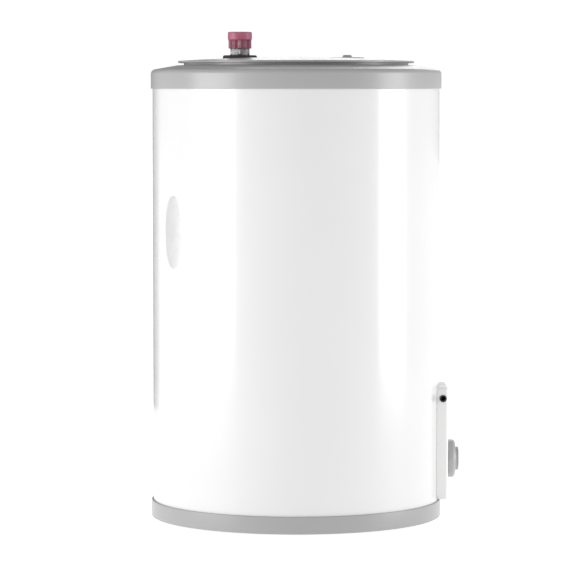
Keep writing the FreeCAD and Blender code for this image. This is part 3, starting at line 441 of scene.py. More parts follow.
# ---------------------------------------------------------------- finishes
class Finish:
    """A Principled material with detail that follows the piece's own coordinates."""

    def __init__(self, name, color, roughness, **sockets):
        self.material = bpy.data.materials.new(name)
        self.material.use_nodes = True
        self.nodes = self.material.node_tree.nodes
        self.links = self.material.node_tree.links
        self.shader = self.nodes["Principled BSDF"]
        self.color = (*color[:3], 1)
        self.shader.inputs["Base Color"].default_value = self.color
        self.shader.inputs["Roughness"].default_value = roughness
        for key, value in sockets.items():
            self.shader.inputs[key.replace("_", " ").title()].default_value = value
        self.height = None

    def place(self, stretch=(1, 1, 1)):
        """Object coordinates, stretched along the axes."""
        coordinates = self.nodes.new("ShaderNodeTexCoord")
        mapping = self.nodes.new("ShaderNodeMapping")
        mapping.inputs["Scale"].default_value = stretch
        self.links.new(coordinates.outputs["Object"], mapping.inputs["Vector"])
        return mapping.outputs["Vector"]

    def noise(self, scale, detail=3.0, stretch=(1, 1, 1)):
        texture = self.nodes.new("ShaderNodeTexNoise")
        texture.inputs["Scale"].default_value = scale
        texture.inputs["Detail"].default_value = detail
        self.links.new(self.place(stretch), texture.inputs["Vector"])
        return texture.outputs["Fac"]

    def cells(self, scale, feature="F1"):
        texture = self.nodes.new("ShaderNodeTexVoronoi")
        texture.feature = feature
        texture.inputs["Scale"].default_value = scale
        self.links.new(self.place(), texture.inputs["Vector"])
        return texture.outputs["Distance"]

    def range(self, value, low, high, start=0.3, end=0.7):
        spread = self.nodes.new("ShaderNodeMapRange")
        spread.inputs["From Min"].default_value = start
        spread.inputs["From Max"].default_value = end
        spread.inputs["To Min"].default_value = low
        spread.inputs["To Max"].default_value = high
        self.links.new(value, spread.inputs["Value"])
        return spread.outputs["Result"]

    def tint(self, value, other, start=0.35, end=0.65):
        """Fades the base colour into another one where value is high."""
        ramp = self.nodes.new("ShaderNodeValToRGB")
        ramp.color_ramp.elements[0].position = start
        ramp.color_ramp.elements[1].position = end
        ramp.color_ramp.elements[0].color = self.color
        ramp.color_ramp.elements[1].color = (*other[:3], 1)
        self.links.new(value, ramp.inputs["Fac"])
        self.links.new(ramp.outputs["Color"], self.shader.inputs["Base Color"])
        return self

    def paint_rib_shade(self, factor):
        """Paints shade into the colour where the piece's relief attribute is high: a painted darkening
        of the ribbed zone that stands in for the shade between the ribs.
        """
        zone = self.nodes.new("ShaderNodeAttribute")
        zone.attribute_name = "relief"
        base = self.shader.inputs["Base Color"]
        blend = self.nodes.new("ShaderNodeVectorMath")
        blend.operation = "SCALE"
        self.links.new(base.links[0].from_socket, blend.inputs[0])
        self.links.new(self.range(zone.outputs["Fac"], 1, factor, 0, 1), blend.inputs["Scale"])
        self.links.new(blend.outputs[0], base)
        return self

    def polish(self, value, low, high):
        """Varies the roughness between low and high."""
        self.links.new(self.range(value, low, high), self.shader.inputs["Roughness"])
        return self

    def bump(self, value, strength, distance):
        """Adds a layer of surface relief, on top of the ones before it."""
        layer = self.nodes.new("ShaderNodeBump")
        layer.inputs["Strength"].default_value = strength
        layer.inputs["Distance"].default_value = distance
        self.links.new(value, layer.inputs["Height"])
        if self.height is not None:
            self.links.new(self.height, layer.inputs["Normal"])
        self.height = layer.outputs["Normal"]
        self.links.new(self.height, self.shader.inputs["Normal"])
        return self


def shade(color, factor):
    return [channel * factor for channel in color]


def enamel_finish(name, color):
    """Sprayed and stoved enamel: glossy, with orange peel and a faint waviness of the sheet."""
    finish = Finish(name, color, 0.2, coat_weight=0.25, coat_roughness=0.06)
    finish.tint(finish.noise(7, 2), shade(color, 0.985))
    finish.polish(finish.noise(60), 0.17, 0.24)
    finish.bump(finish.noise(4.5, 1, (1, 1, 0.4)), 0.12, 0.0012)
    return finish.bump(finish.noise(420, 2), 0.06, 0.0002).material


def moulded_finish(name, color, roughness=0.42, grain=1500):
    """Injection-moulded plastic with a spark-eroded grain."""
    finish = Finish(name, color, roughness)
    finish.tint(finish.noise(9, 2), shade(color, 0.97))
    finish.polish(finish.noise(12, 2), roughness - 0.02, roughness + 0.03)
    finish.bump(finish.noise(grain, 2), 0.1, 0.00008)
    return finish.bump(finish.noise(6, 1), 0.05, 0.0005).material


def soft_plastic_finish(name, color):
    """Waxy polyethylene, a little translucent, with painted shade darkening it where it is ribbed."""
    finish = Finish(name, color, 0.4, subsurface_weight=0.15, subsurface_scale=0.002)
    finish.shader.inputs["Subsurface Radius"].default_value = (1.0, 0.25, 0.3)
    finish.tint(finish.noise(120, 3), shade(color, 0.86))
    finish.polish(finish.noise(300), 0.34, 0.5)
    # painted shade: where the relief attribute is full, the ribbed zone's colour is scaled down to 0.62
    finish.paint_rib_shade(0.62)
    return finish.bump(finish.noise(900, 2), 0.12, 0.0001).material


def rubber_finish(name, color):
    finish = Finish(name, color, 0.7)
    finish.tint(finish.noise(90, 4), [0.045, 0.044, 0.043])
    finish.polish(finish.noise(240), 0.6, 0.82)
    return finish.bump(finish.cells(1300), 0.25, 0.0001).material


def metal_finish(name, color, roughness, stain, grain=(1, 1, 1), scale=400):
    """Bare or plated metal: grain stretched along its working direction, and dull patches."""
    finish = Finish(name, color, roughness, metallic=1.0)
    finish.tint(finish.noise(85, 4), stain, 0.42, 0.7)
    finish.polish(finish.noise(scale, 4, grain), roughness - 0.08, roughness + 0.12)
    return finish.bump(finish.noise(scale * 1.6, 3, grain), 0.12, 0.00008).material


def cast_finish(name, color, stain):
    """Cast metal: a pitted skin with darker hollows."""
    finish = Finish(name, color, 0.42, metallic=1.0)
    finish.tint(finish.noise(160, 6), stain, 0.4, 0.75)
    finish.polish(finish.noise(420, 4), 0.32, 0.55)
    finish.bump(finish.cells(900), 0.3, 0.00015)
    return finish.bump(finish.noise(700, 3), 0.3, 0.0001).material


def foam_finish(name, color, cell):
    """Rigid foam with open cells on its skin."""
    finish = Finish(name, color, 0.85)
    finish.tint(finish.noise(30, 5), shade(color, 0.82))
    finish.bump(finish.cells(cell), 0.8, 0.001)
    return finish.bump(finish.noise(60, 4), 0.5, 0.002).material


def bead_finish(name, color):
    """Expanded polystyrene: pressed beads with dark seams."""
    finish = Finish(name, color, 0.75, subsurface_weight=0.1, subsurface_scale=0.003)
    seams = finish.cells(260, "DISTANCE_TO_EDGE")
    finish.tint(finish.range(seams, 1, 0, 0.0, 0.06), shade(color, 0.75), 0.2, 0.9)
    return finish.bump(seams, 0.6, 0.0008).material


def glassy_finish(name, color, speckle):
    """Fired enamel with fine specks."""
    finish = Finish(name, color, 0.25)
    finish.tint(finish.noise(650, 2), speckle, 0.62, 0.68)
    finish.polish(finish.noise(30), 0.2, 0.38)
    return finish.bump(finish.noise(240, 3), 0.2, 0.0003).material


def lens_finish(name, color):
    """Tinted clear plastic with small facets inside."""
    finish = Finish(name, color, 0.12, transmission_weight=0.55)
    finish.tint(finish.cells(700), shade(color, 0.6), 0.2, 0.8)
    return finish.bump(finish.cells(700), 0.5, 0.0004).material


def ceramic_finish(name, color):
    finish = Finish(name, color, 0.3)
    finish.tint(finish.noise(300, 4), shade(color, 0.9))
    finish.polish(finish.noise(500), 0.22, 0.45)
    return finish.bump(finish.noise(1100, 2), 0.12, 0.0001).material


def print_finish(name, color):
    """Screen-printed ink, slightly uneven."""
    finish = Finish(name, color, 0.5)
    finish.tint(finish.noise(900, 3), shade(color, 1.6))
    finish.polish(finish.noise(700), 0.42, 0.6)
    return finish.bump(finish.noise(1500, 2), 0.1, 0.00003).material


FINISHES = {}


def finish_named(slot):
    """The material for a record slot, made once."""
    if slot not in FINISHES:
        colors = bpy.context.scene.heater_colors
        FINISHES[slot] = {
            "white_enamel": lambda: enamel_finish(slot, colors.enamel),
            "white_plastic": lambda: moulded_finish(slot, colors.panel, 0.3, 2200),
            "grey_plastic": lambda: moulded_finish(slot, colors.casing, 0.32, 2600),
            "dark_grey_plastic": lambda: moulded_finish(slot, colors.dial, 0.34, 1900),
            "black_rubber": lambda: rubber_finish(slot, (0.012, 0.012, 0.012)),
            "red_plastic": lambda: soft_plastic_finish(slot, colors.cap),
            "blue_plastic": lambda: soft_plastic_finish(slot, colors.cold),
            "zinc_steel": lambda: metal_finish(
                slot, (0.50, 0.51, 0.53), 0.32, (0.38, 0.38, 0.36), (1, 1, 5)
            ),
            "tank_enamel": lambda: glassy_finish(slot, (0.035, 0.06, 0.09), (0.2, 0.24, 0.28)),
            "black_steel": lambda: cast_finish(slot, (0.05, 0.05, 0.052), (0.09, 0.06, 0.045)),
            "brass": lambda: cast_finish(slot, (0.66, 0.45, 0.18), (0.56, 0.37, 0.14)),
            "chrome": lambda: metal_finish(slot, (0.34, 0.35, 0.37), 0.28, (0.29, 0.30, 0.32)),
            "copper": lambda: metal_finish(
                slot, (0.80, 0.38, 0.22), 0.3, (0.40, 0.17, 0.12), (1, 4, 1)
            ),
            "magnesium": lambda: cast_finish(slot, (0.55, 0.56, 0.57), (0.34, 0.34, 0.34)),
            "polyurethane_foam": lambda: foam_finish(slot, (0.82, 0.68, 0.36), 320),
            "polystyrene_foam": lambda: bead_finish(slot, (0.88, 0.88, 0.88)),
            "amber_lens": lambda: lens_finish(slot, (0.95, 0.32, 0.03)),
            "black_phenolic": lambda: moulded_finish(slot, (0.02, 0.018, 0.017), 0.34, 900),
            "cream_phenolic": lambda: moulded_finish(slot, (0.70, 0.62, 0.42), 0.36, 900),
            "ceramic": lambda: ceramic_finish(slot, (0.86, 0.83, 0.76)),
            "wire_insulation": lambda: soft_plastic_finish(slot, (0.30, 0.02, 0.01)),
            "silver_badge": lambda: metal_finish(
                slot, colors.badge, 0.36, shade(colors.badge, 0.94), (1, 1, 30), 500
            ),
        }[slot]()
    return FINISHES[slot]


# ---------------------------------------------------------------- settings
def color_setting(name, description, default):
    return FloatVectorProperty(
        name=name, description=description, subtype="COLOR", size=3, min=0, max=1, default=default
    )


def length_setting(name, description, default):
    return FloatProperty(name=name, description=description, unit="LENGTH", default=default)


class HeaterColors(bpy.types.PropertyGroup):
    enamel: color_setting("Enamel", "Colour of the jacket", (0.70, 0.70, 0.70))
    panel: color_setting("Panel", "Colour of the control cover", (0.80, 0.80, 0.795))
    casing: color_setting("Casing", "Colour of the top cover, lid and pan", (0.345, 0.345, 0.35))
    dial: color_setting("Dial", "Colour of the thermostat's dial", (0.38, 0.38, 0.385))
    cap: color_setting("Hot cap", "Colour of the hot outlet's cap", (0.46, 0.11, 0.19))
    cold: color_setting("Cold parts", "Colour of the cold inlet's ring and drain tee", (0.02, 0.12, 0.4))
    badge: color_setting("Badge", "Colour of the blank badge", (0.74, 0.74, 0.75))


class HeaterSizes(bpy.types.PropertyGroup):
    cap_ribs: IntProperty(name="Cap ribs", description="Grip ribs on the cap", default=14)
    cap_rib_depth: length_setting("Cap rib depth", "Depth between the cap's ribs", 0.0019)
    dial_flutes: IntProperty(name="Dial flutes", description="Flutes on the grip", default=18)
    dial_flute_depth: length_setting("Dial flute depth", "Depth of the grip's flutes", 0.0009)
    pipe_pitch: length_setting("Pipe pitch", "Pitch of the 3/4 inch pipe thread", 0.001814)
    pipe_thread: length_setting("Pipe thread", "Depth of the 3/4 inch pipe thread", 0.00116)
    badge_rim: length_setting("Badge rim", "Width of the badge's raised rim", 0.0022)
    scale_marks: IntProperty(name="Marks", description="Printed marks round the dial", default=11)


class HeaterStage(bpy.types.PropertyGroup):
    distance: length_setting("Distance", "From the tank's axis to the camera", 4.26)
    eye_height: length_setting("Eye height", "Height of the camera above the floor", 0.605)
    aim_height: length_setting("Aim height", "Height that the camera looks at", 0.329)
    aim_side: length_setting("Aim side", "Y that the camera looks at", 0.017)
    lens: FloatProperty(name="Lens", description="Focal length in millimetres", default=191.3)
    left_power: FloatProperty(name="Left light", description="Watts", default=35.0)
    right_power: FloatProperty(name="Right light", description="Watts", default=31.0)
    rear_power: FloatProperty(name="Rear light", description="Watts", default=9.0)
    sky: FloatProperty(name="Sky", description="Light from the surroundings", default=0.6)
    backdrop: FloatProperty(name="Backdrop", description="Brightness seen", default=1.02)
    floor_glow: FloatProperty(name="Floor glow", description="Light from the floor", default=0.8)


# ---------------------------------------------------------------- stage
def soft_light(name, azimuth, height, distance, size, power):
    """A large area light that faces the heater's middle; azimuth counts from +X."""
    angle = math.radians(azimuth)
    place = Vector((distance * math.cos(angle), distance * math.sin(angle), height))
    light = bpy.data.lights.new(name, "AREA")
    light.shape = "RECTANGLE"
    light.size, light.size_y = size
    light.energy = power
    lamp = bpy.data.objects.new(name, light)
    bpy.context.scene.collection.objects.link(lamp)
    lamp.location = place
    lamp.rotation_euler = (Vector((0, 0, 0.35)) - place).to_track_quat("-Z", "Y").to_euler()


def dark_flag(azimuth, distance, size):
    """A dark card that only reflections see; it gives the jacket a darker edge."""
    angle = math.radians(azimuth)
    bpy.ops.mesh.primitive_plane_add(size=1)
    card = bpy.context.object
    card.name = "dark_flag"
    card.data.transform(Matrix.Diagonal((*size, 1, 1)))
    card.location = (distance * math.cos(angle), distance * math.sin(angle), size[1] / 2 - 0.4)
    card.rotation_euler = (math.pi / 2, 0, angle + math.pi / 2)
    black = Finish("Dark card", (0.1, 0.1, 0.1), 0.9)
    black.tint(black.noise(5), (0.12, 0.12, 0.12))
    card.data.materials.append(black.material)
    card.visible_camera = False
    card.visible_diffuse = False
    card.visible_shadow = False


def studio_world(backdrop, sky):
    """Surroundings that look as bright as the backdrop but light the scene like the sky."""
    world = bpy.data.worlds.new("Studio")
    world.use_nodes = True
    tree = world.node_tree
    path = tree.nodes.new("ShaderNodeLightPath")
    level = tree.nodes.new("ShaderNodeMapRange")
    level.inputs["To Min"].default_value = sky
    level.inputs["To Max"].default_value = backdrop
    background = tree.nodes["Background"]
    background.inputs["Color"].default_value = (1, 1, 1, 1)
    tree.links.new(path.outputs["Is Camera Ray"], level.inputs["Value"])
    tree.links.new(level.outputs["Result"], background.inputs["Strength"])
    return world


class HEATER_OT_stage(bpy.types.Operator):
    """Adds the floor, the surroundings, three soft lights and the camera"""

    bl_idname = "heater.stage"
    bl_label = "Stage"

    def execute(self, context):
        scene = context.scene
        stage = scene.heater_stage
        scene.view_settings.view_transform = "Standard"
        scene.world = studio_world(stage.backdrop, stage.sky)
        bpy.ops.mesh.primitive_plane_add(size=40)
        floor = context.object
        floor.name = "floor"
        pale = Finish("Pale floor", (0.5, 0.5, 0.5), 0.8, emission_strength=stage.floor_glow)
        pale.shader.inputs["Emission Color"].default_value = (1, 1, 1, 1)
        pale.tint(pale.noise(3, 2), (0.48, 0.48, 0.48))
        floor.data.materials.append(pale.material)
        soft_light("Left light", 114, 0.6, 2.6, (1.7, 1.15), stage.left_power)
        soft_light("Right light", -100, 0.6, 2.6, (1.2, 1.3), stage.right_power)
        soft_light("Rear light", 0, 1.3, 2.2, (1.6, 0.6), stage.rear_power)
        dark_flag(24, 1.5, (1.0, 2.6))
        camera = bpy.data.cameras.new("Camera")
        camera.lens = stage.lens
        camera.sensor_width = 36
        camera.clip_end = 100
        eye = bpy.data.objects.new("Camera", camera)
        scene.collection.objects.link(eye)
        eye.location = (-stage.distance, stage.aim_side, stage.eye_height)
        aim = Vector((0, stage.aim_side, stage.aim_height)) - eye.location
        eye.rotation_euler = aim.to_track_quat("-Z", "Y").to_euler()
        scene.camera = eye
        return {"FINISHED"}


# ---------------------------------------------------------------- the frame's own parts
class HEATER_OT_frame_finishes(bpy.types.Operator):
    """Smooths the frame's parts and gives each the finish of its record slot"""

    bl_idname = "heater.frame_finishes"
    bl_label = "Frame finishes"

    def execute(self, context):
        for part in frame["record"]["subparts"]:
            node = NODES[part["node"]]
            weld = node.modifiers.new("Weld", "WELD")
            weld.merge_threshold = WELD_DISTANCE
            split = node.modifiers.new("Sharp edges", "EDGE_SPLIT")
            split.split_angle = SHARP
            node.data.shade_smooth()
            node.data.materials.clear()
            node.data.materials.append(finish_named(part["material_slot"]))
        return {"FINISHED"}


# ---------------------------------------------------------------- hot outlet
class HEATER_OT_outlet_cap(bpy.types.Operator):
    """Builds the ribbed push-on cap of the hot outlet"""

    bl_idname = "heater.outlet_cap"
    bl_label = "Outlet cap"

    def execute(self, context):
        sizes = context.scene.heater_sizes
        low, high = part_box("hot_outlet_cap")
        foot, top = low.z / MM, high.z / MM
        radius = half_width("hot_outlet_cap") / MM
        wall_in = radius - 3.5
        waist = foot + 12.4
        points = [
            (0, top - 1.0, 0),
            (10.2, top - 1.0, 0.4),
            (11.0, top, 0.4),
            (radius, top, 1.6),
            (radius, waist + 0.6, 0.3),
            (radius - 0.6, waist, 0.2),
            *side(radius - 0.3, waist - 0.4, foot + 0.6, 16),
            (radius - 0.7, foot, 0),
            (wall_in, foot, 0.4),
            (wall_in, top - 3.2, 0.8),
            (0, top - 3.2, 0),
        ]
        # the relief zone sinks the ribs and also carries the cap's painted shade
        relief = (foot - 2, waist - 0.4, 0.8, radius - 1)
        piece = lathe("outlet_cap", points, 160, relief=relief)
        material = finish_named("red_plastic")
        shaped(
            piece,
            flute_tree,
            count=sizes.cap_ribs,
            depth=sizes.cap_rib_depth,
            narrowness=0.45,
            material=material,
        )
        settle(piece, outlet_axis())
        dress(piece, material, "hot_cap", "red_plastic", "hot_outlet_cap")
        return {"FINISHED"}


class HEATER_OT_outlet_nipple(bpy.types.Operator):
    """Builds the hot outlet's nipple, with its hexagon and thread"""

    bl_idname = "heater.outlet_nipple"
    bl_label = "Outlet nipple"

    def execute(self, context):
        sizes = context.scene.heater_sizes
        low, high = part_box("hot_nipple")
        foot, top = low.z / MM, high.z / MM
        flats = (high.y - low.y) / MM
        thread_r = 13.2
        bore = 9.8
        grommet_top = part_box("hot_grommet")[1].z / MM
        cap_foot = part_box("hot_outlet_cap")[0].z / MM
        hexagon = (grommet_top + 0.2, cap_foot - 0.3)
        corner = flats / math.sqrt(3)
        points = [
            (bore, foot, 0),
            (thread_r, foot, 0.8),
            (thread_r, hexagon[0] - 0.01, 0),
            (corner - 1.6, hexagon[0], 0),
            (corner, hexagon[0] + 0.9, 0),
            (corner, hexagon[1] - 0.9, 0),
            (corner - 1.6, hexagon[1], 0),
            (thread_r - 1.3, hexagon[1] + 0.01, 0),
            (thread_r - 1.3, hexagon[1] + 1.2, 0),
            *side(thread_r, hexagon[1] + 1.6, top - 0.9, 96),
            (thread_r - 1.0, top, 0),
            (bore, top, 0.3),
        ]
        relief = (hexagon[1] + 1.6, top - 0.6, 0.4, thread_r - 0.5)
        piece = lathe("outlet_nipple", points, 96, (*hexagon, flats), relief)
        material = metal_finish("Dull zinc", (0.22, 0.22, 0.23), 0.45, (0.17, 0.17, 0.17))
        shaped(
            piece,
            thread_tree,
            pitch=sizes.pipe_pitch,
            depth=sizes.pipe_thread,
            material=material,
        )
        settle(piece, outlet_axis())
        dress(piece, material, "heater", "zinc_steel", "hot_nipple")
        return {"FINISHED"}


# ---------------------------------------------------------------- dial
def dial_ends():
    """Where the dial points at rest, its highest setting, and at the other end of its travel."""
    travel = math.radians(JOINTS["dial_turn"]["range_deg"][1])
    highest = (TURN - travel) / 2 - TURN / 4
    return highest, highest + travel


class HEATER_OT_dial(bpy.types.Operator):
    """Builds the thermostat's dial, with its fluted grip and pointer"""

    bl_idname = "heater.dial"
    bl_label = "Dial"

    def execute(self, context):
        sizes = context.scene.heater_sizes
        low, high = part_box("control_knob")
        radius = half_width("control_knob") / MM
        back, front = -high.y / MM, -low.y / MM
        skirt = back + 10.4
        points = [
            (0, front - 0.8, 0),
            (11.6, front - 0.8, 0.6),
            (12.8, front, 0.5),
            (15.6, front, 1.0),
            *side(16.6, front - 1.2, skirt + 1.4, 14),
            (16.9, skirt + 1.0, 0),
            (17.6, skirt, 0.5),
            (radius - 2.9, skirt, 1.2),
            (radius, skirt - 2.9, 1.0),
            (radius, back + 1.4, 0.3),
            (radius - 0.5, back + 1.1, 0.2),
            (radius - 0.5, back, 0.3),
            (radius - 2.4, back, 0.3),
            (radius - 2.4, skirt - 3.4, 0.5),
            (7, skirt - 3.4, 0.5),
            (7, back, 0.3),
            (3.05, back, 0.2),
            (3.05, front - 3.2, 0),
            (0, front - 3.2, 0),
        ]
        relief = (skirt + 1.0, front - 0.4, 1.2, 16.2)
        piece = lathe("thermostat_dial", points, 144, relief=relief)
        material = finish_named("dark_grey_plastic")
        shaped(
            piece,
            flute_tree,
            count=sizes.dial_flutes,
            depth=sizes.dial_flute_depth,
            narrowness=1.6,
            material=material,
        )
        centre = box_centre("control_knob")
        settle(piece, panel_axis(centre.x, centre.z))
        dress(piece, material, "thermostat_dial", "dark_grey_plastic", "control_knob")
        pointer = bevelled_box("dial_pointer", (1.2, 8.6, 0.5), 0.2)
        pointer.data.transform(Matrix.Translation((0, 21 * MM, (skirt - 0.05) * MM)))
        pointer.data.transform(Matrix.Rotation(dial_ends()[0] - TURN / 4, 4, "Z"))
        pointer.data.transform(panel_axis(centre.x, centre.z))
        dress(pointer, finish_named("white_plastic"), "thermostat_dial", "white_plastic")
        return {"FINISHED"}


def bevelled_box(name, size, bevel):
    """A box with rounded edges, centred, from sizes in millimetres."""
    mesh = bmesh.new()
    bmesh.ops.create_cube(mesh, size=1)
    bmesh.ops.scale(mesh, vec=[side_length * MM for side_length in size], verts=mesh.verts)
    bmesh.ops.bevel(mesh, geom=mesh.edges, offset=bevel * MM, segments=4, affect="EDGES")
    data = bpy.data.meshes.new(name)
    mesh.to_mesh(data)
    mesh.free()
    crease(data)
    return new_object(name, data)


class HEATER_OT_dial_scale(bpy.types.Operator):
    """Prints the marks round the dial on the control cover"""

    bl_idname = "heater.dial_scale"
    bl_label = "Dial scale"

    def execute(self, context):
        sizes = context.scene.heater_sizes
        centre = box_centre("control_knob")
        highest, lowest = dial_ends()
        face = -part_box("control_cover")[0].y
        piece = new_object("dial_scale", bpy.data.meshes.new("dial_scale"))
        material = print_finish("Grey print", (0.09, 0.09, 0.095))
        shaped(
            piece,
            mark_tree,
            count=sizes.scale_marks,
            radius=half_width("control_knob") + 2.2 * MM,
            first_angle=lowest,
            sweep=highest - lowest,
            shortest=2.2 * MM,
            longest=4.8 * MM,
            width=1.1 * MM,
            thickness=0.12 * MM,
            material=material,
        )
        settle(piece, panel_axis(centre.x, centre.z) @ Matrix.Translation((0, 0, face)))
        dress(piece, material, "heater", "white_plastic")
        return {"FINISHED"}


# ---------------------------------------------------------------- badge
class HEATER_OT_badge(bpy.types.Operator):
    """Builds the blank oval badge, bent to the jacket, with a raised rim"""

    bl_idname = "heater.badge"
    bl_label = "Badge"

    def execute(self, context):
        rim = context.scene.heater_sizes.badge_rim
        low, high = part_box("label_badge")
        centre = (low + high) / 2
        azimuth = math.atan2(centre.y, centre.x)
        jacket = half_width("jacket")
        half_high = (high.z - low.z) / 2
        half_wide = (high - low).xy.length / 2
        thickness = 0.35 * MM
        field = 0.62  # height of the flat field inside the rim, as a share of the thickness
        levels = [(0, field), (0.4, field), (0.45, 1), (0.82, 1), (0.98, 0.75), (1, 0)]
        mesh = bmesh.new()
        rings = []
        segments = 96
        for across, raised in levels:
            inset = rim * (1 - across)
            ring = []
            for segment in range(segments):
                angle = TURN * segment / segments
                along = (half_wide - inset) * math.cos(angle)
                height = centre.z + (half_high - inset) * math.sin(angle)
                turn = azimuth + along / jacket
                reach = jacket + thickness * raised
                ring.append(mesh.verts.new((reach * math.cos(turn), reach * math.sin(turn), height)))
            rings.append(ring)
        for inner, outer in zip(rings, rings[1:]):
            for segment in range(segments):
                after = (segment + 1) % segments
                mesh.faces.new((inner[segment], outer[segment], outer[after], inner[after]))
        fill_oval(mesh, rings[0], centre.z, azimuth, jacket + thickness * field)
        fill_oval(mesh, rings[-1], centre.z, azimuth, jacket)
        bmesh.ops.recalc_face_normals(mesh, faces=mesh.faces)
        data = bpy.data.meshes.new("badge")
        mesh.to_mesh(data)
        mesh.free()
        crease(data)
        piece = new_object("badge", data)
        dress(piece, finish_named("silver_badge"), "heater", "silver_badge", "label_badge")
        return {"FINISHED"}


def fill_oval(mesh, ring, middle, azimuth, reach):
    """Closes an oval ring with smaller rings that keep to the cylinder, and a pole."""
    outer = ring
    steps = 8
    for step in range(steps - 1, 0, -1):
        part = step / steps
        inner = []
        for vertex in ring:
            turn = math.atan2(vertex.co.y, vertex.co.x)
            turn = azimuth + ((turn - azimuth + math.pi) % TURN - math.pi) * part
            height = middle + (vertex.co.z - middle) * part
            inner.append(mesh.verts.new((reach * math.cos(turn), reach * math.sin(turn), height)))
        for index in range(len(ring)):
            after = (index + 1) % len(ring)
            mesh.faces.new((outer[index], outer[after], inner[after], inner[index]))
        outer = inner
    pole = mesh.verts.new((reach * math.cos(azimuth), reach * math.sin(azimuth), middle))
    for index in range(len(ring)):
        mesh.faces.new((outer[index], outer[(index + 1) % len(ring)], pole))


# ---------------------------------------------------------------- screws
def solids(node):
    """The corners of each separate solid in a node."""
    mesh = bmesh.new()
    mesh.from_mesh(NODES[node].data)
    bmesh.ops.remove_doubles(mesh, verts=mesh.verts, dist=WELD_DISTANCE)
    left = set(mesh.verts)
    boxes = []
    while left:
        found = [left.pop()]
        for vertex in found:
            near = {edge.other_vert(vertex) for edge in vertex.link_edges} & left
            left -= near
            found.extend(near)
        low = Vector(min(vertex.co[k] for vertex in found) for k in range(3))
        high = Vector(max(vertex.co[k] for vertex in found) for k in range(3))
        boxes.append((low, high))
    mesh.free()
    return sorted(boxes, key=lambda box: tuple(box[0]))


def screw_piece(name, head_radius, head_height, shank_radius, length):
    """Pan-head screw with a cross recess, seated at the origin and facing +Z; millimetres."""
    points = [
        (0, -length, 0),
        (shank_radius * 0.6, -length, 0),
        (shank_radius, -length + 1.0, 0),
        (shank_radius, 0, 0),
        (head_radius, 0, 0.15),
        (head_radius, head_height * 0.6, head_height * 0.35),
        (head_radius * 0.6, head_height, 1.0),
        (0, head_height, 0),
    ]
    screw = lathe(name, points, 48)
    recess = []
    for turn in (0, math.pi / 2):
        slot = bevelled_box("recess", (head_radius * 1.15, head_radius * 0.26, 2.0), 0.1)
        slot.data.transform(Matrix.Translation((0, 0, (head_height + 0.3) * MM)))
        slot.data.transform(Matrix.Rotation(turn, 4, "Z"))
        recess.append(slot)
    return combine(screw, recess, "DIFFERENCE")


def scatter_screws(name, node, axis, head_radius, head_height, shank_radius):
    """Stands screws along an axis at each of a node's solids."""
    boxes = solids(node)
    direction = Vector(axis)
    along = max(range(3), key=lambda k: abs(axis[k]))
    lengths = [(high - low)[along] / MM - head_height for low, high in boxes]
    pieces = []
    for number, ((low, high), length) in enumerate(zip(boxes, lengths)):
        screw = screw_piece("screw", head_radius, head_height, shank_radius, length)
        seat = (low + high) / 2
        outer = high[along] if axis[along] > 0 else low[along]
        seat[along] = outer - direction[along] * head_height * MM
        points = bpy.data.meshes.new(name)
        points.from_pydata([seat], [], [])
        points.attributes.new("axis", "FLOAT_VECTOR", "POINT").data[0].vector = direction
        points.attributes.new("turn", "FLOAT", "POINT").data[0].value = 0.6 + 1.1 * number
        row = new_object(name, points)
        material = finish_named("zinc_steel")
        shaped(row, scatter_tree, screw=screw, material=material)
        settle(row)
        bpy.data.objects.remove(screw)
        pieces.append(row)
    piece = merge(name, pieces)
    crease(piece.data)
    return dress(piece, finish_named("zinc_steel"), "heater", "zinc_steel", node)


class HEATER_OT_screws(bpy.types.Operator):
    """Builds the screws of the control cover, the lid and the base"""

    bl_idname = "heater.screws"
    bl_label = "Screws"

    def execute(self, context):
        scatter_screws("cover_screws", "control_cover_screws", (0, -1, 0), 3.5, 1.8, 1.6)
        scatter_screws("lid_screw_set", "lid_screws", (0, 0, 1), 3.8, 1.6, 1.8)
        scatter_screws("base_screw_set", "base_screws", (0, 0, -1), 5.0, 2.2, 2.3)
        return {"FINISHED"}


# ---------------------------------------------------------------- springs
def return_spring(name, node):
    """A welded, smoothed and finished copy of a spring node's coil, as it stands."""
    source = NODES[node]
    coil = source.data.copy()
    coil.transform(source.matrix_world)
    piece = new_object(name, coil)
    weld = piece.modifiers.new("Weld", "WELD")
    weld.merge_threshold = WELD_DISTANCE
    settle(piece)
    dress(piece, finish_named("zinc_steel"), "heater", "zinc_steel", node)
    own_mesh(piece)


class HEATER_OT_springs(bpy.types.Operator):
    """Builds the two springs of the relief lever and the reset button"""

    bl_idname = "heater.springs"
    bl_label = "Springs"

    def execute(self, context):
        return_spring("relief_spring", "relief_valve_spring")
        return_spring("button_spring", "reset_spring")
        return {"FINISHED"}


# ---------------------------------------------------------------- valves and sockets
def hexagon_collar(low, high, across_flats, chamfer=0.9):
    """Profile points of a hexagon with chamfered corners."""
    corner = across_flats / math.sqrt(3)
    return [
        (corner - 1.7, low, 0),
        (corner, low + chamfer, 0),
        (corner, high - chamfer, 0),
        (corner - 1.7, high, 0),
    ]


def spindle_axis():
    """The upright axis through the drain valve's ball."""
    centre = box_centre("drain_valve_ball")
    return Matrix.Translation(centre)


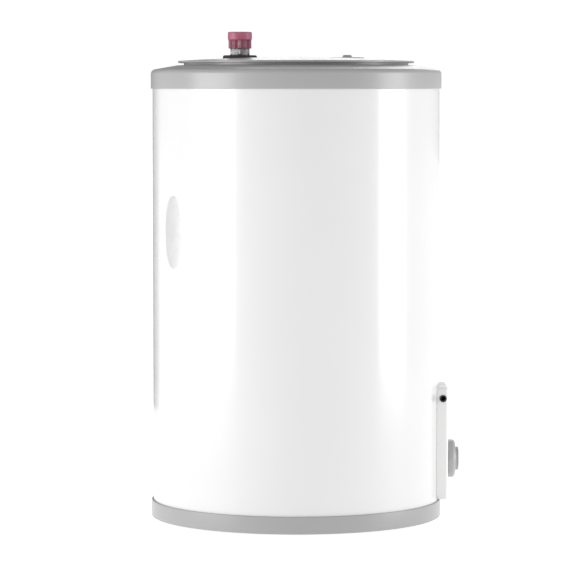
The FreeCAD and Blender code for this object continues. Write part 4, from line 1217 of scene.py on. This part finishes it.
class HEATER_OT_drain_valve(bpy.types.Operator):
    """Builds the drain valve's body, with its hexagon and hose thread"""

    bl_idname = "heater.drain_valve"
    bl_label = "Drain valve"

    def execute(self, context):
        sizes = context.scene.heater_sizes
        mount = MOUNTS["drain_outlet"]
        outlet = Vector(mount["pos_m"])
        direction = Vector(mount["axis"])
        end = outlet.xy.length / MM
        ball = box_centre("drain_valve_ball").xy.length / MM
        outer = [
            (0, end - 73, 0),
            (9.4, end - 73, 0),
            (10.5, end - 72, 0),
            (10.5, end - 50, 0),
            *hexagon_collar(end - 50, end - 42, 27.0),
            (14.0, end - 42, 0),
            (14.0, end - 16, 1.2),
            (12.0, end - 16, 0.4),
            (12.0, end - 14.4, 0),
            *side(13.2, end - 14, end - 1, 72),
            (12.2, end, 0),
            (0, end, 0),
        ]
        relief = (end - 14, end - 0.4, 0.4, 12.6)
        body = lathe("drain_valve", outer, 96, (end - 50, end - 42, 27.0), relief)
        material = finish_named("brass")
        shaped(
            body, thread_tree, pitch=sizes.pipe_pitch, depth=sizes.pipe_thread, material=material
        )
        settle(body)
        axis = axis_matrix((0, 0, outlet.z), direction)
        body.data.transform(axis)
        boss = lathe("boss", [(0, 0, 0), (6.5, 0, 0), (6.5, 17, 0.8), (0, 17, 0)], 48)
        boss.data.transform(spindle_axis())
        combine(body, [boss], "UNION")
        cavity = half_width("drain_valve_ball", 2) / MM + 0.4
        bore = 6.5
        reach = math.sqrt(cavity**2 - bore**2)
        start = math.atan2(reach, bore)
        arc = []
        for step in range(17):
            angle = -start + 2 * start * step / 16
            arc.append((cavity * math.cos(angle), ball + cavity * math.sin(angle), 0))
        way = [(0, end - 75, 0), (bore, end - 75, 0), *arc, (bore, end + 2, 0), (0, end + 2, 0)]
        way = lathe("way", way, 64)
        way.data.transform(axis)
        spindle = lathe("spindle", [(0, 0, 0), (3.4, 0, 0), (3.4, 20, 0), (0, 20, 0)], 32)
        spindle.data.transform(spindle_axis())
        combine(body, [way, spindle], "DIFFERENCE")
        dress(body, material, "heater", "brass", "drain_valve_body")
        return {"FINISHED"}


class HEATER_OT_relief_valve(bpy.types.Operator):
    """Builds the relief valve's body, with its outlet pointing down"""

    bl_idname = "heater.relief_valve"
    bl_label = "Relief valve"

    def execute(self, context):
        outlet = Vector(MOUNTS["relief_outlet"]["pos_m"])
        low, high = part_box("relief_valve_body")
        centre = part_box("relief_valve_bonnet")
        level = (centre[0].z + centre[1].z) / 2
        start, end = low.x / MM, high.x / MM
        outer = [
            (0, start, 0),
            (9.4, start, 0),
            (10.5, start + 1, 0),
            (10.5, start + 23, 0),
            *hexagon_collar(start + 23, start + 33, 27.0),
            (15.0, start + 33, 1.0),
            (15.0, end, 0),
            (0, end, 0),
        ]
        hexagon = (start + 23, start + 33, 27.0)
        body = lathe("relief_valve", outer, 96, hexagon)
        axis = axis_matrix((0, 0, level), (1, 0, 0))
        body.data.transform(axis)
        drop = (level - low.z) / MM
        down = axis_matrix((outlet.x, 0, level), (0, 0, -1))
        branch = lathe(
            "branch",
            [(0, 0, 0), (11, 0, 0), (11, drop - 7, 0.8), (10.2, drop - 6, 0.4),
             (11, drop - 5, 0.4), (11, drop, 0.8), (0, drop, 0)],
            72,
        )
        branch.data.transform(down)
        combine(body, [branch], "UNION")
        inlet = [(0, start - 2, 0), (6, start - 2, 0), (6, start + 42.5, 0),
                 (11, start + 42.5, 0.5), (11, end + 2, 0), (0, end + 2, 0)]
        inlet = lathe("inlet", inlet, 64)
        inlet.data.transform(axis)
        way = [(0, 0, 0), (6.5, 0, 0), (6.5, drop - 16, 0), (7.5, drop - 16, 0),
               (7.5, drop - 0.6, 0), (8.4, drop + 0.3, 0), (8.4, drop + 2, 0), (0, drop + 2, 0)]
        way = lathe("way", way, 64)
        way.data.transform(down)
        combine(body, [inlet, way], "DIFFERENCE")
        dress(body, finish_named("brass"), "heater", "brass", "relief_valve_body")
        return {"FINISHED"}


class HEATER_OT_inlet_socket(bpy.types.Operator):
    """Builds the cold inlet's socket, with its inside thread"""

    bl_idname = "heater.inlet_socket"
    bl_label = "Inlet socket"

    def execute(self, context):
        sizes = context.scene.heater_sizes
        mount = MOUNTS["cold_inlet"]
        low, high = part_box("cold_inlet_socket")
        start, end = low.x / MM, high.x / MM
        crest = mount["dims"]["r_mm"]
        depth = mount["dims"]["length_mm"]
        points = [
            (9, start, 0),
            (19, start, 0),
            (19, end, 0.8),
            (crest + 1.2, end, 0),
            *side(crest, end - 1.2, end - depth + 0.6, 96),
            (crest, end - depth, 0),
            (9, end - depth, 0),
        ]
        relief = (end - depth + 1, end - 0.6, 0.5, crest - 0.1)
        piece = lathe("inlet_socket", points, 96)
        inside = piece.data.attributes["relief"].data
        for vertex, weight in zip(piece.data.vertices, inside):
            height = vertex.co.z / MM
            near = vertex.co.xy.length / MM < crest + 0.1
            share = min(height - relief[0], relief[1] - height) / relief[2]
            weight.value = max(0.0, min(1.0, share)) if near else 0.0
        material = finish_named("zinc_steel")
        shaped(
            piece, thread_tree, pitch=sizes.pipe_pitch, depth=-sizes.pipe_thread, material=material
        )
        settle(piece, axis_matrix((0, 0, mount["pos_m"][2]), mount["axis"]))
        dress(piece, material, "heater", "zinc_steel", "cold_inlet_socket")
        return {"FINISHED"}


# ---------------------------------------------------------------- panel and start
OPERATORS = (
    HEATER_OT_frame_finishes,
    HEATER_OT_outlet_cap,
    HEATER_OT_outlet_nipple,
    HEATER_OT_dial,
    HEATER_OT_dial_scale,
    HEATER_OT_badge,
    HEATER_OT_screws,
    HEATER_OT_springs,
    HEATER_OT_drain_valve,
    HEATER_OT_relief_valve,
    HEATER_OT_inlet_socket,
    HEATER_OT_stage,
)


GROUPS = {"heater_colors": HeaterColors, "heater_sizes": HeaterSizes, "heater_stage": HeaterStage}


class HEATER_PT_panel(bpy.types.Panel):
    """Lists the heater's operators and settings"""

    bl_label = "Tank Water Heater"
    bl_idname = "HEATER_PT_panel"
    bl_space_type = "VIEW_3D"
    bl_region_type = "UI"
    bl_category = "Heater"

    def draw(self, context):
        for operator in OPERATORS:
            self.layout.operator(operator.bl_idname)
        for group in GROUPS:
            settings = getattr(context.scene, group)
            box = self.layout.box()
            for name in settings.__annotations__:
                box.prop(settings, name)


def register():
    for item in (*GROUPS.values(), *OPERATORS, HEATER_PT_panel):
        bpy.utils.register_class(item)
    for name, group in GROUPS.items():
        setattr(bpy.types.Scene, name, PointerProperty(type=group))


def unregister():
    for name in GROUPS:
        delattr(bpy.types.Scene, name)
    for item in (HEATER_PT_panel, *reversed(OPERATORS), *GROUPS.values()):
        bpy.utils.unregister_class(item)


def main():
    register()
    for operator in OPERATORS:
        if operator.bl_idname == "heater.stage":
            write_sizes()
        run(operator)


def run(operator):
    area, name = operator.bl_idname.split(".")
    result = getattr(getattr(bpy.ops, area), name)()
    if result != {"FINISHED"}:
        raise RuntimeError(f"{operator.bl_idname} didn't finish")


def write_sizes():
    """Updates the view layer; nothing is written."""
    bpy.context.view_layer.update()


if __name__ == "__main__":
    main()
